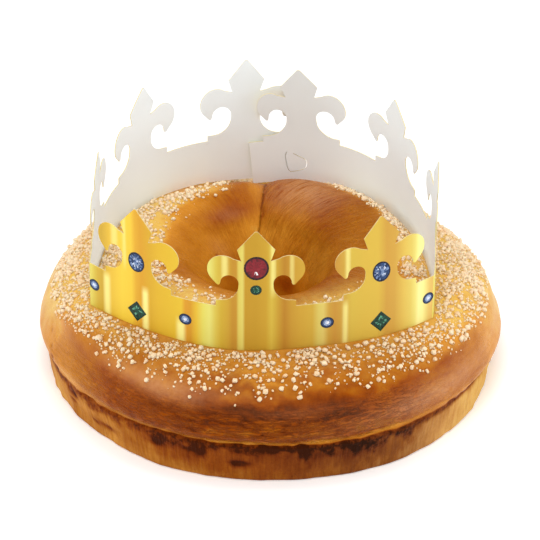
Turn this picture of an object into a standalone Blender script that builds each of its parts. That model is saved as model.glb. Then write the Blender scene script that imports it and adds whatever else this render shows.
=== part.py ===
"""A brioche king cake with its paper crown.

The cake is one ring of dough, baked in a shallow round mould: a straight wall at the foot, a ledge
where the dough rose over the rim, an uneven dome, and a funnel that narrows to a small hole.
The crown is one strip of card with nine fleurs-de-lis, bent round and lapped at the back.
Metres, +Z up, the front of the cake towards -Y, the origin below the middle on the table.
"""

import bpy
import bmesh
import numpy as np

MM = 0.001
COLLECTION_NAME = "brioche_king_cake"

# ---- the ring of brioche ----------------------------------------------------------------------
FOOT_RADIUS = 125.0 * MM            # where the mould's floor met its wall
FOOT_ROUNDING = 1.5 * MM
LEDGE_RADIUS = 129.7 * MM           # the top of the mould's wall
LEDGE_HEIGHT = 25.5 * MM
LEDGE_STEP = 1.0 * MM               # how far the crease under the bulge goes in
LEDGE_SAG_TO_RIGHT = 0.0135         # the ledge lies lower on the right, metres per metre
BULGE_RADIUS = 129.6 * MM
BULGE_HEIGHT = 32.5 * MM
HAUNCH = (3.6 * MM, 43.5 * MM)      # in from the bulge, and height
SHOULDER_SHARE = 0.60               # way from the crown's line out to the bulge
SHOULDER_HEIGHT = 56.5 * MM
CREST_RADIUS = 71.2 * MM
CREST_FOLLOWS_CROWN = 0.35          # how far the crest follows the crown's uneven line
CREST_HEIGHT = 75.2 * MM
CREST_RISE = 0.4 * MM               # the back right is higher than the front left
CREST_RISE_DIRECTION = 150.0        # degrees, counted from the front towards the right
LIP_RADIUS = 47.0 * MM              # where the funnel turns down
LIP_HEIGHT = 71.0 * MM
FUNNEL = ((36.0, 61.5, 0.8), (26.5, 50.5, 0.5), (19.0, 37.0, 0.3),   # radius, height (millimetres)
          (14.5, 22.0, 0.2), (14.5, 10.0, 0.1))                      # and share of FUNNEL_WAVES
HOLE_FOOT_RADIUS = 17.0 * MM
BULGE_WAVES = ((1, 1.2 * MM, -50.0), (2, 1.8 * MM, 20.0), (3, 0.8 * MM, -13.0), (5, 0.4 * MM, 70.0))
FOOT_WAVES = ((1, 0.9 * MM, 60.0), (2, 0.4 * MM, 90.0), (7, 0.3 * MM, 30.0))
FUNNEL_WAVES = ((1, 5.5 * MM, -80.0), (2, 1.6 * MM, 60.0), (3, 1.0 * MM, 20.0))
SEAM_DIRECTION = 182.0              # where the two ends of the dough meet
SEAM_RISE = 2.5 * MM                # the end on the right lies higher
SEAM_BULGE = 2.0 * MM               # and further into the funnel
SEAM_FADE = 45.0                    # degrees over which it evens out
SECTIONS_AROUND = 96
POINTS_OVER_DOME = 26

# ---- the crown --------------------------------------------------------------------------------
CROWN_CENTRE = (-2.5 * MM, -6.0 * MM)    # from the middle of the ring
CROWN_BASE_HEIGHT = 66.4 * MM
CROWN_SLOPE = (-0.0053, 0.0174)          # rise of its lower edge along +X and +Y
CROWN_CLEARANCE = 0.9 * MM               # air under the card's lower edge
SEAT_DIP = 3.4 * MM                      # the crust is lower under the lap
SEAT_DIP_WIDTH = 22.0                    # degrees
LOOP_RADII = (86.7, 87.0, 93.4, 93.4, 88.5, 87.9, 90.7, 93.6,
              91.1, 92.4, 93.1, 91.9, 91.1, 93.8, 91.3, 88.9)    # from the front, towards the right
FOLDS = ((59.5, 12.0, 16.5), (-66.2, 12.0, 14.2))   # the card was packed flat: direction of each upright
                                                    # fold, how far it stands out (millimetres), reach (degrees)
SEAT_ROUNDING = 12                       # degrees over which the crust rounds off the folds
CARD_THICKNESS = 0.5 * MM
LAP_GAP = 1.4 * MM                       # between the middles of the two layers at the lap
LAP_EASING = (120.0, 165.0)              # degrees from the front where the ends part
FLEUR_COUNT = 9
FLEUR_PITCH = 70.04 * MM
FRONT_FLEUR_TURN = -3.6                  # degrees from the front to the middle fleur
TAB_LENGTH = 30.6 * MM                   # card past the middle of the last fleur
RIGHT_TAB_TRIM = 1.0 * MM                # the right end is cut a little shorter
BAND_HEIGHT = 27.6 * MM
BEND_STEP = 8.0 * MM
FLEUR_LEANS = (-5.3, -1.4, 1.5, -1.5, -0.3, 1.7, -2.5, 0.3, 4.3)   # inward lean of each tip, millimetres
FLEUR_TILTS = (-1.0, -5.7, -0.7, 0.3, 0.0, -0.2, 3.9, 4.6, 0.8)    # and how far each tip is bent along the strip
LEAN_FROM, LEAN_TO = 30.0 * MM, 76.0 * MM                     # heights between which a fleur leans
END_DROOP = 5.5                          # degrees that the right end has slipped round in its lap
END_DROOP_LENGTH = 80.0 * MM             # over which it slips

CRUST_COLOUR = (0.46, 0.19, 0.045, 1.0)
CARD_COLOUR = (0.78, 0.55, 0.10, 1.0)


def clear_scene():
    for item in list(bpy.data.objects):
        bpy.data.objects.remove(item, do_unlink=True)


def make_material(name, colour, roughness, metallic):
    material = bpy.data.materials.new(name)
    material.use_nodes = True
    shader = material.node_tree.nodes["Principled BSDF"]
    shader.inputs["Base Color"].default_value = colour
    shader.inputs["Roughness"].default_value = roughness
    shader.inputs["Metallic"].default_value = metallic
    return material


def waves(angle, terms):
    """A sum of cosines round the ring: (lobes, swing, direction of the bulge in degrees)."""
    return sum(swing * np.cos(lobes * (angle - np.radians(turn))) for lobes, swing, turn in terms)


def smooth_line(knots, count):
    """Points at even distances along a cubic through the knots (Catmull-Rom)."""
    knots = np.asarray(knots, float)
    padded = np.vstack([2 * knots[0] - knots[1], knots, 2 * knots[-1] - knots[-2]])
    share = np.linspace(0.0, 1.0, 13)[:-1, None]
    runs = []
    for before, start, end, after in zip(padded, padded[1:], padded[2:], padded[3:]):
        runs.append(0.5 * (2 * start + (end - before) * share
                           + (2 * before - 5 * start + 4 * end - after) * share ** 2
                           + (3 * start - before - 3 * end + after) * share ** 3))
    line = np.vstack(runs + [knots[-1:]])
    length = np.concatenate([[0.0], np.cumsum(np.linalg.norm(np.diff(line, axis=0), axis=1))])
    stops = np.linspace(0.0, length[-1], count)
    return np.stack([np.interp(stops, length, line[:, axis]) for axis in (0, 1)], axis=1)


def loop_radius(angle):
    """The crown loop's radius round its own centre: a smooth closed curve that stands out to its folds."""
    radii = np.array(LOOP_RADII) * MM
    terms = np.fft.rfft(radii) / len(radii)
    scale = np.full(len(terms), 2.0)
    scale[0] = scale[-1] = 1.0
    total = np.zeros_like(np.asarray(angle, float))
    for lobes, (term, weight) in enumerate(zip(terms, scale)):
        total = total + weight * (term * np.exp(1j * lobes * np.asarray(angle))).real
    for direction, stand, reach in FOLDS:
        away = np.abs((np.degrees(angle) - direction + 180.0) % 360.0 - 180.0)
        total = total + stand * MM * np.exp(-away / reach)
    return total


def loop_point(angle, offset):
    """A point of the loop in plan, seen from the middle of the ring, moved outwards by offset."""
    radius = loop_radius(angle) + offset
    x = CROWN_CENTRE[0] + radius * np.sin(angle)
    y = CROWN_CENTRE[1] - radius * np.cos(angle)
    return x, y


def crown_floor(x, y):
    """Height of the crown's lower edge over a point in plan."""
    rise = CROWN_SLOPE[0] * (x - CROWN_CENTRE[0]) + CROWN_SLOPE[1] * (y - CROWN_CENTRE[1])
    return CROWN_BASE_HEIGHT + rise


def end_slip(along):
    """How far the right end is turned in its own plane (radians) and how far it has sunk."""
    end = (FLEUR_COUNT // 2) * FLEUR_PITCH + TAB_LENGTH
    share = np.clip((along - end + END_DROOP_LENGTH) / END_DROOP_LENGTH, 0.0, 1.0)
    turn = np.radians(END_DROOP) * share ** 2
    return turn, turn * share * END_DROOP_LENGTH / 3


def crown_line(angle):
    """Radius and height, seen from the middle of the ring, of the line that the crown rests on."""
    around = np.radians(np.arange(-200.0, 200.0, 1.0))
    x, y = loop_point(around, 0.0)
    turn = np.arctan2(x, -y) - around
    direction = around + (turn + np.pi) % (2 * np.pi) - np.pi
    window = np.hanning(2 * SEAT_ROUNDING + 1)
    rounded = np.convolve(np.hypot(x, y), window / window.sum(), mode="same")
    inside = slice(SEAT_ROUNDING, -SEAT_ROUNDING)
    radius = np.interp(angle, direction[inside], rounded[inside])
    height = crown_floor(radius * np.sin(angle), -radius * np.cos(angle)) - CROWN_CLEARANCE
    from_lap = np.degrees(np.abs((angle - np.pi + np.pi) % (2 * np.pi) - np.pi))
    dip = SEAT_DIP * np.exp(-(from_lap / SEAT_DIP_WIDTH) ** 2)
    return radius, height - dip


def seam_share(angle):
    """One at the raised end of the dough, fading round the right side, nothing on the left."""
    past_seam = (SEAM_DIRECTION - np.degrees(angle)) % 360.0
    return np.exp(-past_seam / SEAM_FADE)


def ring_section(angle):
    """The closed outline of the dough at one angle, as rows of radius and height."""
    seat_radius, seat_height = crown_line(angle)
    bulge = BULGE_RADIUS + waves(angle, BULGE_WAVES)
    foot = FOOT_RADIUS + waves(angle, FOOT_WAVES)
    ledge = LEDGE_RADIUS + waves(angle, FOOT_WAVES)
    ledge_height = LEDGE_HEIGHT - LEDGE_SAG_TO_RIGHT * LEDGE_RADIUS * np.sin(angle)
    crest_radius = CREST_RADIUS + CREST_FOLLOWS_CROWN * (seat_radius - np.mean(LOOP_RADII) * MM)
    crest_height = CREST_HEIGHT + CREST_RISE * np.cos(angle - np.radians(CREST_RISE_DIRECTION))
    seam = seam_share(angle)
    funnel_swing = waves(angle, FUNNEL_WAVES) - SEAM_BULGE * seam
    shoulder = seat_radius + SHOULDER_SHARE * (bulge - seat_radius)
    dome = [(HOLE_FOOT_RADIUS, 0.0)]
    dome += [(radius * MM + share * funnel_swing, height * MM)
             for radius, height, share in reversed(FUNNEL)]
    dome += [(LIP_RADIUS + funnel_swing, LIP_HEIGHT + 0.8 * SEAM_RISE * seam),
             (crest_radius, crest_height + SEAM_RISE * seam),
             (seat_radius, seat_height),
             (shoulder, SHOULDER_HEIGHT),
             (bulge - HAUNCH[0], HAUNCH[1]),
             (bulge, BULGE_HEIGHT),
             (ledge - LEDGE_STEP, ledge_height)]
    wall = [(ledge, ledge_height - LEDGE_STEP),
            (0.5 * (ledge + foot), 0.5 * ledge_height),
            (foot, FOOT_ROUNDING),
            (foot - FOOT_ROUNDING, 0.0)]
    return np.vstack([smooth_line(dome, POINTS_OVER_DOME), wall])


def make_brioche(collection):
    """A loft between the unlike sections of the ring."""
    angles = np.linspace(0.0, 2 * np.pi, SECTIONS_AROUND, endpoint=False)
    turned = (angles + np.pi) % (2 * np.pi) - np.pi
    rings = []
    for angle in turned:
        section = ring_section(angle)
        rings.append(np.stack([section[:, 0] * np.sin(angle), -section[:, 0] * np.cos(angle),
                               section[:, 1]], axis=1))
    points = np.array(rings)
    around, along = points.shape[:2]
    index = np.arange(around * along).reshape(around, along)
    ahead = np.roll(index, -1, axis=0)
    quads = np.stack([index, np.roll(index, -1, axis=1), np.roll(ahead, -1, axis=1), ahead], axis=-1)
    mesh = bpy.data.meshes.new("brioche")
    mesh.from_pydata(points.reshape(-1, 3), [], quads.reshape(-1, 4).tolist())
    shell = bmesh.new()
    shell.from_mesh(mesh)
    bmesh.ops.triangulate(shell, faces=shell.faces)
    bmesh.ops.recalc_face_normals(shell, faces=shell.faces)
    shell.to_mesh(mesh)
    shell.free()
    mesh.shade_smooth()
    mesh.set_sharp_from_angle(angle=np.radians(50.0))
    mesh.materials.append(make_material("baked_crust", CRUST_COLOUR, 0.35, 0.0))
    brioche = bpy.data.objects.new("brioche", mesh)
    collection.objects.link(brioche)
    return brioche


def arc(centre, radius, start, end, steps):
    """Points on an arc, millimetres and degrees, both ends included."""
    turn = np.radians(np.linspace(start, end, steps + 1))
    return [(centre[0] + radius * np.cos(t), centre[1] + radius * np.sin(t)) for t in turn]


def half_fleur():
    """The right half of a fleur-de-lis from the band's edge to its tip, in millimetres."""
    outline = [(21.9, BAND_HEIGHT / MM), (21.9, 31.1)]
    outline += arc((19.4, 41.5), 9.9, 270.0, 180.0, 5)       # base, sweeping up into the stem
    outline += arc((14.4, 43.0), 5.0, 180.0, 0.0, 5)         # round notch under the petal
    outline += arc((20.7, 42.6), 1.25, 225.0, 300.0, 1)      # end of the petal's hook
    outline += arc((17.6, 51.0), 9.15, -48.0, 125.0, 8)      # the petal
    outline += [(7.9, 57.2), (10.3, 64.4), (0.7, 76.2)]      # neck, side corner, tip
    return outline


def strip_outline():
    """The flat card: a straight foot, and the fleurs along the top edge, from right to left."""
    end = (FLEUR_COUNT // 2) * FLEUR_PITCH + TAB_LENGTH
    right = np.array(half_fleur()) * MM
    left = right[::-1] * (-1.0, 1.0)
    right_end = end - RIGHT_TAB_TRIM
    outline = [(-end, 0.0), (right_end, 0.0), (right_end, BAND_HEIGHT)]
    for number in reversed(range(FLEUR_COUNT)):
        centre = (number - FLEUR_COUNT // 2) * FLEUR_PITCH
        for x, y in np.vstack([right, left]):
            outline.append((centre + x, y))
    outline.append((-end, BAND_HEIGHT))
    return outline


def make_flat_card(collection):
    """The die-cut strip as a filled outline with the card's thickness."""
    curve = bpy.data.curves.new("crown_outline", "CURVE")
    curve.dimensions = "2D"
    curve.fill_mode = "BOTH"
    curve.extrude = CARD_THICKNESS / 2
    outline = strip_outline()
    spline = curve.splines.new("POLY")
    spline.points.add(len(outline) - 1)
    for point, (x, y) in zip(spline.points, outline):
        point.co = (x, y, 0.0, 1.0)
    spline.use_cyclic_u = True
    flat = bpy.data.objects.new("crown_outline", curve)
    collection.objects.link(flat)
    bpy.context.view_layer.update()
    depsgraph = bpy.context.evaluated_depsgraph_get()
    mesh = bpy.data.meshes.new_from_object(flat.evaluated_get(depsgraph))
    bpy.data.objects.remove(flat, do_unlink=True)
    return mesh


def run_along_loop():
    """Directions round the loop, and how far along the card each one lies."""
    fine = np.radians(np.linspace(-230.0, 230.0, 2301))
    x, y = loop_point(fine, 0.0)
    length = np.concatenate([[0.0], np.cumsum(np.hypot(np.diff(x), np.diff(y)))])
    return fine, length - np.interp(np.radians(FRONT_FLEUR_TURN), fine, length)


def cut_for_bending(card):
    """Cuts the flat card across at even steps and at the folds, so that it bends as a smooth strip."""
    bmesh.ops.remove_doubles(card, verts=card.verts, dist=0.00001)
    bmesh.ops.dissolve_limit(card, angle_limit=np.radians(0.5), verts=card.verts, edges=card.edges)
    end = (FLEUR_COUNT // 2) * FLEUR_PITCH + TAB_LENGTH
    count = int(np.ceil(2 * end / BEND_STEP))
    fine, length = run_along_loop()
    folds = [float(np.interp(np.radians(fold[0]), fine, length)) for fold in FOLDS]
    even = [place for place in np.linspace(-end, end, count + 1)[1:-1]
            if min(abs(place - fold) for fold in folds) > 0.3 * BEND_STEP]
    for place in sorted(even + folds):
        everything = list(card.verts) + list(card.edges) + list(card.faces)
        bmesh.ops.bisect_plane(card, geom=everything, dist=0.0002,
                               plane_co=(place, 0.0, 0.0), plane_no=(1.0, 0.0, 0.0))
    bmesh.ops.triangulate(card, faces=card.faces)


def bend_card(points):
    """Carries flat points (along, up, through) onto the loop, its slope and its lap."""
    turn, sink = end_slip(points[:, 0])
    centres = (np.arange(FLEUR_COUNT) - FLEUR_COUNT // 2) * FLEUR_PITCH
    share = np.clip((points[:, 1] - LEAN_FROM) / (LEAN_TO - LEAN_FROM), 0.0, None) ** 1.5
    lean = share * np.interp(points[:, 0], centres, np.array(FLEUR_LEANS) * MM)
    tilt = share * np.interp(points[:, 0], centres, np.array(FLEUR_TILTS) * MM)
    along = points[:, 0] + turn * points[:, 1] + tilt
    up = points[:, 1] - sink
    fine, length = run_along_loop()
    angle = np.interp(along, length, fine)
    ease = np.clip((np.abs(np.degrees(angle)) - LAP_EASING[0]) / (LAP_EASING[1] - LAP_EASING[0]), 0, 1)
    layer = -0.5 * LAP_GAP * np.sign(angle) * ease * ease * (3 - 2 * ease)
    middle = np.stack(loop_point(angle, layer), axis=1)
    step = np.stack(loop_point(angle + 0.01, layer), axis=1)
    back = np.stack(loop_point(angle - 0.01, layer), axis=1)
    tangent = step - back
    tangent /= np.linalg.norm(tangent, axis=1)[:, None]
    outward = np.stack([tangent[:, 1], -tangent[:, 0]], axis=1)
    plan = middle + outward * (points[:, 2] - lean)[:, None]
    plan -= np.array(CROWN_SLOPE) * up[:, None]
    height = crown_floor(middle[:, 0], middle[:, 1]) + up
    return np.column_stack([plan, height])


def make_crown(collection):
    mesh = make_flat_card(collection)
    card = bmesh.new()
    card.from_mesh(mesh)
    cut_for_bending(card)
    card.to_mesh(mesh)
    flat = np.empty(len(mesh.vertices) * 3)
    mesh.vertices.foreach_get("co", flat)
    mesh.vertices.foreach_set("co", bend_card(flat.reshape(-1, 3)).ravel())
    card.clear()
    card.from_mesh(mesh)
    bmesh.ops.recalc_face_normals(card, faces=card.faces)
    card.to_mesh(mesh)
    card.free()
    mesh.name = "crown"
    mesh.shade_smooth()
    mesh.set_sharp_from_angle(angle=np.radians(40.0))
    mesh.materials.clear()
    mesh.materials.append(make_material("gold_card", CARD_COLOUR, 0.4, 0.0))
    crown = bpy.data.objects.new("crown", mesh)
    collection.objects.link(crown)
    return crown


def centre_on_origin(pieces):
    """Moves the meshes so that the whole object's box stands centred on the origin."""
    corners = []
    for piece in pieces:
        points = np.empty(len(piece.data.vertices) * 3)
        piece.data.vertices.foreach_get("co", points)
        points = points.reshape(-1, 3)
        corners += [points.min(axis=0), points.max(axis=0)]
    middle = (np.min(corners, axis=0) + np.max(corners, axis=0)) / 2
    for piece in pieces:
        points = np.empty(len(piece.data.vertices) * 3)
        piece.data.vertices.foreach_get("co", points)
        points = points.reshape(-1, 3) - (middle[0], middle[1], 0.0)
        piece.data.vertices.foreach_set("co", points.ravel())
        piece.data.update()


def main():
    clear_scene()
    collection = bpy.data.collections.new(COLLECTION_NAME)
    bpy.context.scene.collection.children.link(collection)
    centre_on_origin([make_brioche(collection), make_crown(collection)])


main()
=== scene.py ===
"""Looks for a brioche king cake that wears a lapped crown of printed card.

The crust is one closed surface: the ring's outline is carried round, and wrinkles, flutes, pits and
the seam of the dough stand in it as relief. Pearl sugar and fine sugar are joined grains that sit on
it. The crown is a die-cut strip bent round the same loop as the frame's crown, gold outside and bare
board inside, with jewels printed on it. Metres, +Z up, the front towards -Y.
"""

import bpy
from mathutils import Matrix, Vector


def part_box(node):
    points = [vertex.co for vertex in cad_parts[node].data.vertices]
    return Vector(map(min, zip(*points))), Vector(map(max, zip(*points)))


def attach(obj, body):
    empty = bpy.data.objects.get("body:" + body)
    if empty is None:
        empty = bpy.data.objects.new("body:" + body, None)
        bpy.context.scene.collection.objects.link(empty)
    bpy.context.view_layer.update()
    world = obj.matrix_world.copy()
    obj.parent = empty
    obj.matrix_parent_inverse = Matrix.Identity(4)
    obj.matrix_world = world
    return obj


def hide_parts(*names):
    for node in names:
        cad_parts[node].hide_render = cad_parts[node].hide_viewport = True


bl_info = {
    "name": "Brioche King Cake",
    "version": (1, 0, 0),
    "blender": (4, 5, 0),
    "location": "View3D > Sidebar > King Cake",
    "description": "Makes a ring of brioche with pearl sugar and its card crown",
    "category": "Add Mesh",
}

import bmesh
import bpy
import numpy as np
from bpy.props import FloatProperty, FloatVectorProperty, IntProperty, PointerProperty
from mathutils import Vector

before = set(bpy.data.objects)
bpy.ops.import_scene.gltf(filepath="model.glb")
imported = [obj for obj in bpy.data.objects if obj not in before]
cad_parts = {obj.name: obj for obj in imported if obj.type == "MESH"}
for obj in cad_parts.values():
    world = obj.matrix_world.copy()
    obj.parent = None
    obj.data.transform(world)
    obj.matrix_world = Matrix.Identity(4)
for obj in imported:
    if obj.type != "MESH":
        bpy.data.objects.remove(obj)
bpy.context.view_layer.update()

MM = 0.001

# ---- the ring, as the frame has it ------------------------------------------------------------
FOOT_RADIUS = 125.0 * MM
FOOT_ROUNDING = 1.5 * MM
LEDGE_RADIUS = 129.7 * MM
LEDGE_HEIGHT = 25.5 * MM
LEDGE_STEP = 1.0 * MM
LEDGE_SAG_TO_RIGHT = 0.0135     # slope by which the crease runs down to the right
# Bells round the ring: direction in degrees, half width in degrees, and how far.
WALL_TUCKS = ((80.0, 26.0, 4.3 * MM), (-82.0, 24.0, 1.8 * MM))      # the wall draws in at the sides
OVERHANGS = ((84.0, 24.0, 1.6 * MM), (-82.0, 22.0, 1.7 * MM))       # and the bulge hangs over it
TOE_TUCKS = ((-56.0, 14.0, 1.6 * MM), (80.0, 14.0, 2.6 * MM))       # the edge of the foot draws in
LOWER_CREASE = ((-62.0, 24.0, 2.4 * MM),)                           # the bulge sags over the mould's rim
BULGE_RADIUS = 129.6 * MM
BULGE_HEIGHT = 32.5 * MM
HAUNCH = (3.6 * MM, 43.5 * MM)  # how far in from the bulge, and at which height
SHOULDER_SHARE = 0.60           # of the way from the crown's seat out to the bulge
SHOULDER_HEIGHT = 56.5 * MM
CREST_RADIUS = 71.2 * MM
CREST_FOLLOWS_CROWN = 0.35      # share of the crown's unevenness that the crest follows
CREST_HEIGHT = 75.2 * MM
CREST_RISE = 0.4 * MM
CREST_RISE_DIRECTION = 150.0
LIP_RADIUS = 47.0 * MM
LIP_HEIGHT = 71.0 * MM
# The funnel's knots from the lip down: radius and height in millimetres, share of the funnel's waves.
FUNNEL = ((36.0, 61.5, 0.8), (26.5, 50.5, 0.5), (19.0, 37.0, 0.3), (14.5, 22.0, 0.2), (14.5, 10.0, 0.1))
HOLE_FOOT_RADIUS = 17.0 * MM
# Waves round the ring: lobes, swing, and the direction in degrees where they bulge.
BULGE_WAVES = ((1, 1.2 * MM, -50.0), (2, 1.8 * MM, 20.0), (3, 0.8 * MM, -13.0), (5, 0.4 * MM, 70.0))
FOOT_WAVES = ((1, 0.9 * MM, 60.0), (2, 0.4 * MM, 90.0), (7, 0.3 * MM, 30.0))
FUNNEL_WAVES = ((1, 5.5 * MM, -80.0), (2, 1.6 * MM, 60.0), (3, 1.0 * MM, 20.0))
SEAM_RISE = 2.5 * MM            # how much higher the dough right of the seam stands
SEAM_BULGE = 2.0 * MM           # and how far it bulges into the hole
SEAM_FADE = 45.0                # degrees over which both fade to 1/e
SEAM_FOLD = 4.5                 # degrees over which the raised end folds down into the seam
CREST_FOLD = 20.0               # degrees over which it rises along the crest
BACK_SAG = ((-158.0, 34.0, 1.0 * MM),)     # where the crest hangs: direction, half width, how far
SEAM_TOP = 182.5                # the seam's direction at the crest
SEAM_TURN = 4.4                 # degrees it turns for each row inwards

# ---- the crown, as the frame has it -----------------------------------------------------------
CROWN_CENTRE = (-2.5 * MM, -6.0 * MM)
CROWN_BASE_HEIGHT = 66.4 * MM
CROWN_SLOPE = (-0.0053, 0.0174)
SEAT_CLEARANCE = 0.1 * MM       # the crust comes up to the card's lower edge
SEAT_DIP = 3.4 * MM
SEAT_DIP_WIDTH = 22.0
# The loop's radii round its own centre in millimetres, from the front on, at even steps.
LOOP_RADII = (86.7, 87.0, 93.4, 93.4, 88.5, 87.9, 90.7, 93.6,
              91.1, 92.4, 93.1, 91.9, 91.1, 93.8, 91.3, 88.9)
FOLDS = ((59.5, 12.0, 16.5), (-66.2, 12.0, 14.2))   # direction, how far it stands out (mm), reach in degrees
SEAT_ROUNDING = 12              # degrees over which the crust rounds off the folds
LAP_GAP = 1.4 * MM              # between the middles of the two ends where they lap
LAP_EASING = (120.0, 165.0)     # degrees from the front over which they part
FLEUR_COUNT = 9
FLEUR_PITCH = 70.04 * MM
FRONT_FLEUR_TURN = -3.6         # degrees
TAB_LENGTH = 30.6 * MM          # from the last fleur's middle to the strip's end
RIGHT_TAB_TRIM = 1.0 * MM
BAND_HEIGHT = 27.6 * MM
# Millimetres by which each fleur's tip leans in, and is tilted along the strip, from its left end on.
FLEUR_LEANS = (-5.3, -1.4, 1.5, -1.5, -0.3, 1.7, -2.5, 0.3, 4.3)
FLEUR_TILTS = (-1.0, -5.7, -0.7, 0.3, 0.0, -0.2, 3.9, 4.6, 0.8)
LEAN_FROM, LEAN_TO = 30.0 * MM, 76.0 * MM       # heights on the card
CARD_WAVE = 46.0 * MM           # size of the card's slow waves
CARD_WAVE_FROM = 20.0 * MM      # height from which they are full
END_STEMS_SLIMMER = 1.2         # millimetres off either side of the stems that lap
LAST_CURL_SHORTER = 0.22        # share by which the curl in front of the lap is shorter
FIRST_CURL_LONGER = 0.22        # and the one behind it longer
END_DROOP = 5.5                 # degrees by which the strip's right end hangs down
END_DROOP_LENGTH = 80.0 * MM    # and over which length
STRIP_END = (FLEUR_COUNT // 2) * FLEUR_PITCH + TAB_LENGTH

# ---- the grid of the crust --------------------------------------------------------------------
# Rows count the knots of the outline: 0 the hole's foot, 1 to 5 up the funnel, then the lip, the crest, the
# seat of the crown, 9 the shoulder, 10 the haunch, 11 the bulge, the crease, the foot and the underside.
LIP, CREST, SEAT, CREASE, WALL_FOOT, UNDERSIDE = 6, 7, 8, 12, 13, 14
ROWS_PER_STEP = (4, 6, 9, 10, 11, 12, 22, 20, 22, 16, 11, 8)
WALL_ROWS, FOOT_ROWS, UNDERSIDE_ROWS = 18, 3, 6
POINTS_AROUND = 560
BELT_RADIUS = 100.0 * MM        # streaks are measured on a belt of this radius
MM_PER_DEGREE = 2.25            # at the bulge
MM_PER_ROW = 10.0               # low on the ring

# Oval marks: direction in degrees, row, half width (degrees), half height (rows), and how strong.
BLOTCHES = (    # browning
    (-158.0, 6.15, 13.0, 0.38, 0.16), (-146.0, 5.85, 16.0, 0.46, 0.22), (-112.0, 5.3, 24.0, 0.8, -0.08),
    (-166.0, 5.15, 10.0, 0.5, -0.12), (-122.0, 4.5, 1.3, 0.07, 0.5), (150.0, 6.7, 22.0, 0.5, 0.08),
    (128.0, 6.1, 16.0, 0.5, 0.06), (100.0, 5.0, 34.0, 0.8, -0.10), (-103.0, 6.8, 24.0, 0.55, -0.34),
    (-172.5, 6.9, 4.5, 0.7, -0.26), (30.0, 7.1, 28.0, 0.6, -0.26), (152.0, 3.1, 22.0, 0.35, 0.30),
    (56.0, 9.70, 12.0, 0.24, 0.07), (100.0, 4.7, 36.0, 1.1, -0.20), (-176.0, 4.6, 16.0, 0.9, -0.14),
    (-66.0, 10.4, 10.0, 0.5, 0.10), (172.0, 5.2, 22.0, 0.5, -0.06), (-14.0, 6.3, 22.0, 0.6, -0.10),
    (-62.0, 9.6, 8.0, 0.35, 0.13), (60.0, 9.4, 9.0, 0.3, 0.05), (-76.0, 9.8, 16.0, 0.7, -0.18),
    (-46.0, 9.3, 16.0, 0.4, -0.10), (-4.0, 9.9, 40.0, 0.35, 0.10))
PAINTED_SHEENS = (      # painted highlights: the soft boxes' pale sheen on the egg wash
    (-30.0, 9.42, 16.0, 0.34, 0.45), (48.0, 10.7, 22.0, 0.62, 0.50), (8.0, 9.85, 12.0, 0.22, 0.10),
    (160.0, 6.7, 20.0, 0.65, 0.50), (-150.0, 5.9, 14.0, 0.30, 0.16), (-128.0, 4.7, 9.0, 0.5, 0.14))
SCORCHES = (    # burnt spots on the wall
    (-28.5, 12.36, 2.3, 0.085, 0.8), (-8.0, 12.53, 2.8, 0.08, 0.8), (-59.5, 12.28, 2.2, 0.10, 0.8),
    (-60.5, 12.55, 1.3, 0.06, 0.7), (-50.0, 12.66, 1.3, 0.05, 0.7), (-45.5, 12.60, 2.2, 0.08, 0.7),
    (-20.0, 12.30, 2.6, 0.06, 0.5), (64.0, 12.1, 5.0, 0.12, 0.6), (-120.0, 12.4, 3.0, 0.08, 0.7),
    (131.0, 12.5, 4.0, 0.07, 0.7), (171.0, 12.45, 3.4, 0.09, 0.8), (-155.0, 12.6, 2.4, 0.06, 0.6))
DENTS = (       # millimetres that the shoulder lies further in
    (122.0, 9.4, 16.0, 0.8, 1.2), (-122.0, 9.4, 16.0, 0.8, 1.2), (-104.0, 9.5, 16.0, 0.7, 1.4))
# Round marks: direction, row, radius in millimetres, depth in millimetres.
PITS = ((-75.0, 10.35, 1.1, 0.5), (-70.0, 11.50, 1.5, 1.1), (-67.5, 11.9, 1.3, 0.9), (-72.0, 10.9, 0.9, 0.4),
        (33.0, 9.75, 1.2, 0.4), (97.0, 10.8, 1.3, 0.6), (165.0, 11.2, 1.5, 0.7), (-140.0, 10.9, 1.2, 0.6))

# ---- the sugar --------------------------------------------------------------------------------
# Each kind: piece, settings, spread of sizes, how close two grains may lie (share of their size), how much
# is missing in front, then flatness, roughness, depth sunk (shares of the size) and tilt (radians).
SUGAR_KINDS = (("pearl_sugar", "nib", 0.27, 0.80, 0.0, (0.80, 0.13, 0.16, 0.45)),
               ("broken_sugar", "chip", 0.26, 0.65, 0.55, (0.80, 0.20, 0.18, 0.7)),
               ("fine_sugar", "grain", 0.28, 0.0, 0.85, (0.9, 0.25, 0.2, 0.8)))
SIZE_LIMITS = (0.5, 1.35)       # of the middle size
CLUMP_SIZE = 8.0 * MM
CLEAR_OF_CARD = 0.6 * MM        # and 0.55 of the grain's size

# ---- the print --------------------------------------------------------------------------------
CARD_CUT = 2.5 * MM             # the strip is cut across this often, so that it bends smoothly
CARD_RISE = 8.0 * MM            # and lengthwise this often
FOLD_WIDTH = 0.5 * MM
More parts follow.
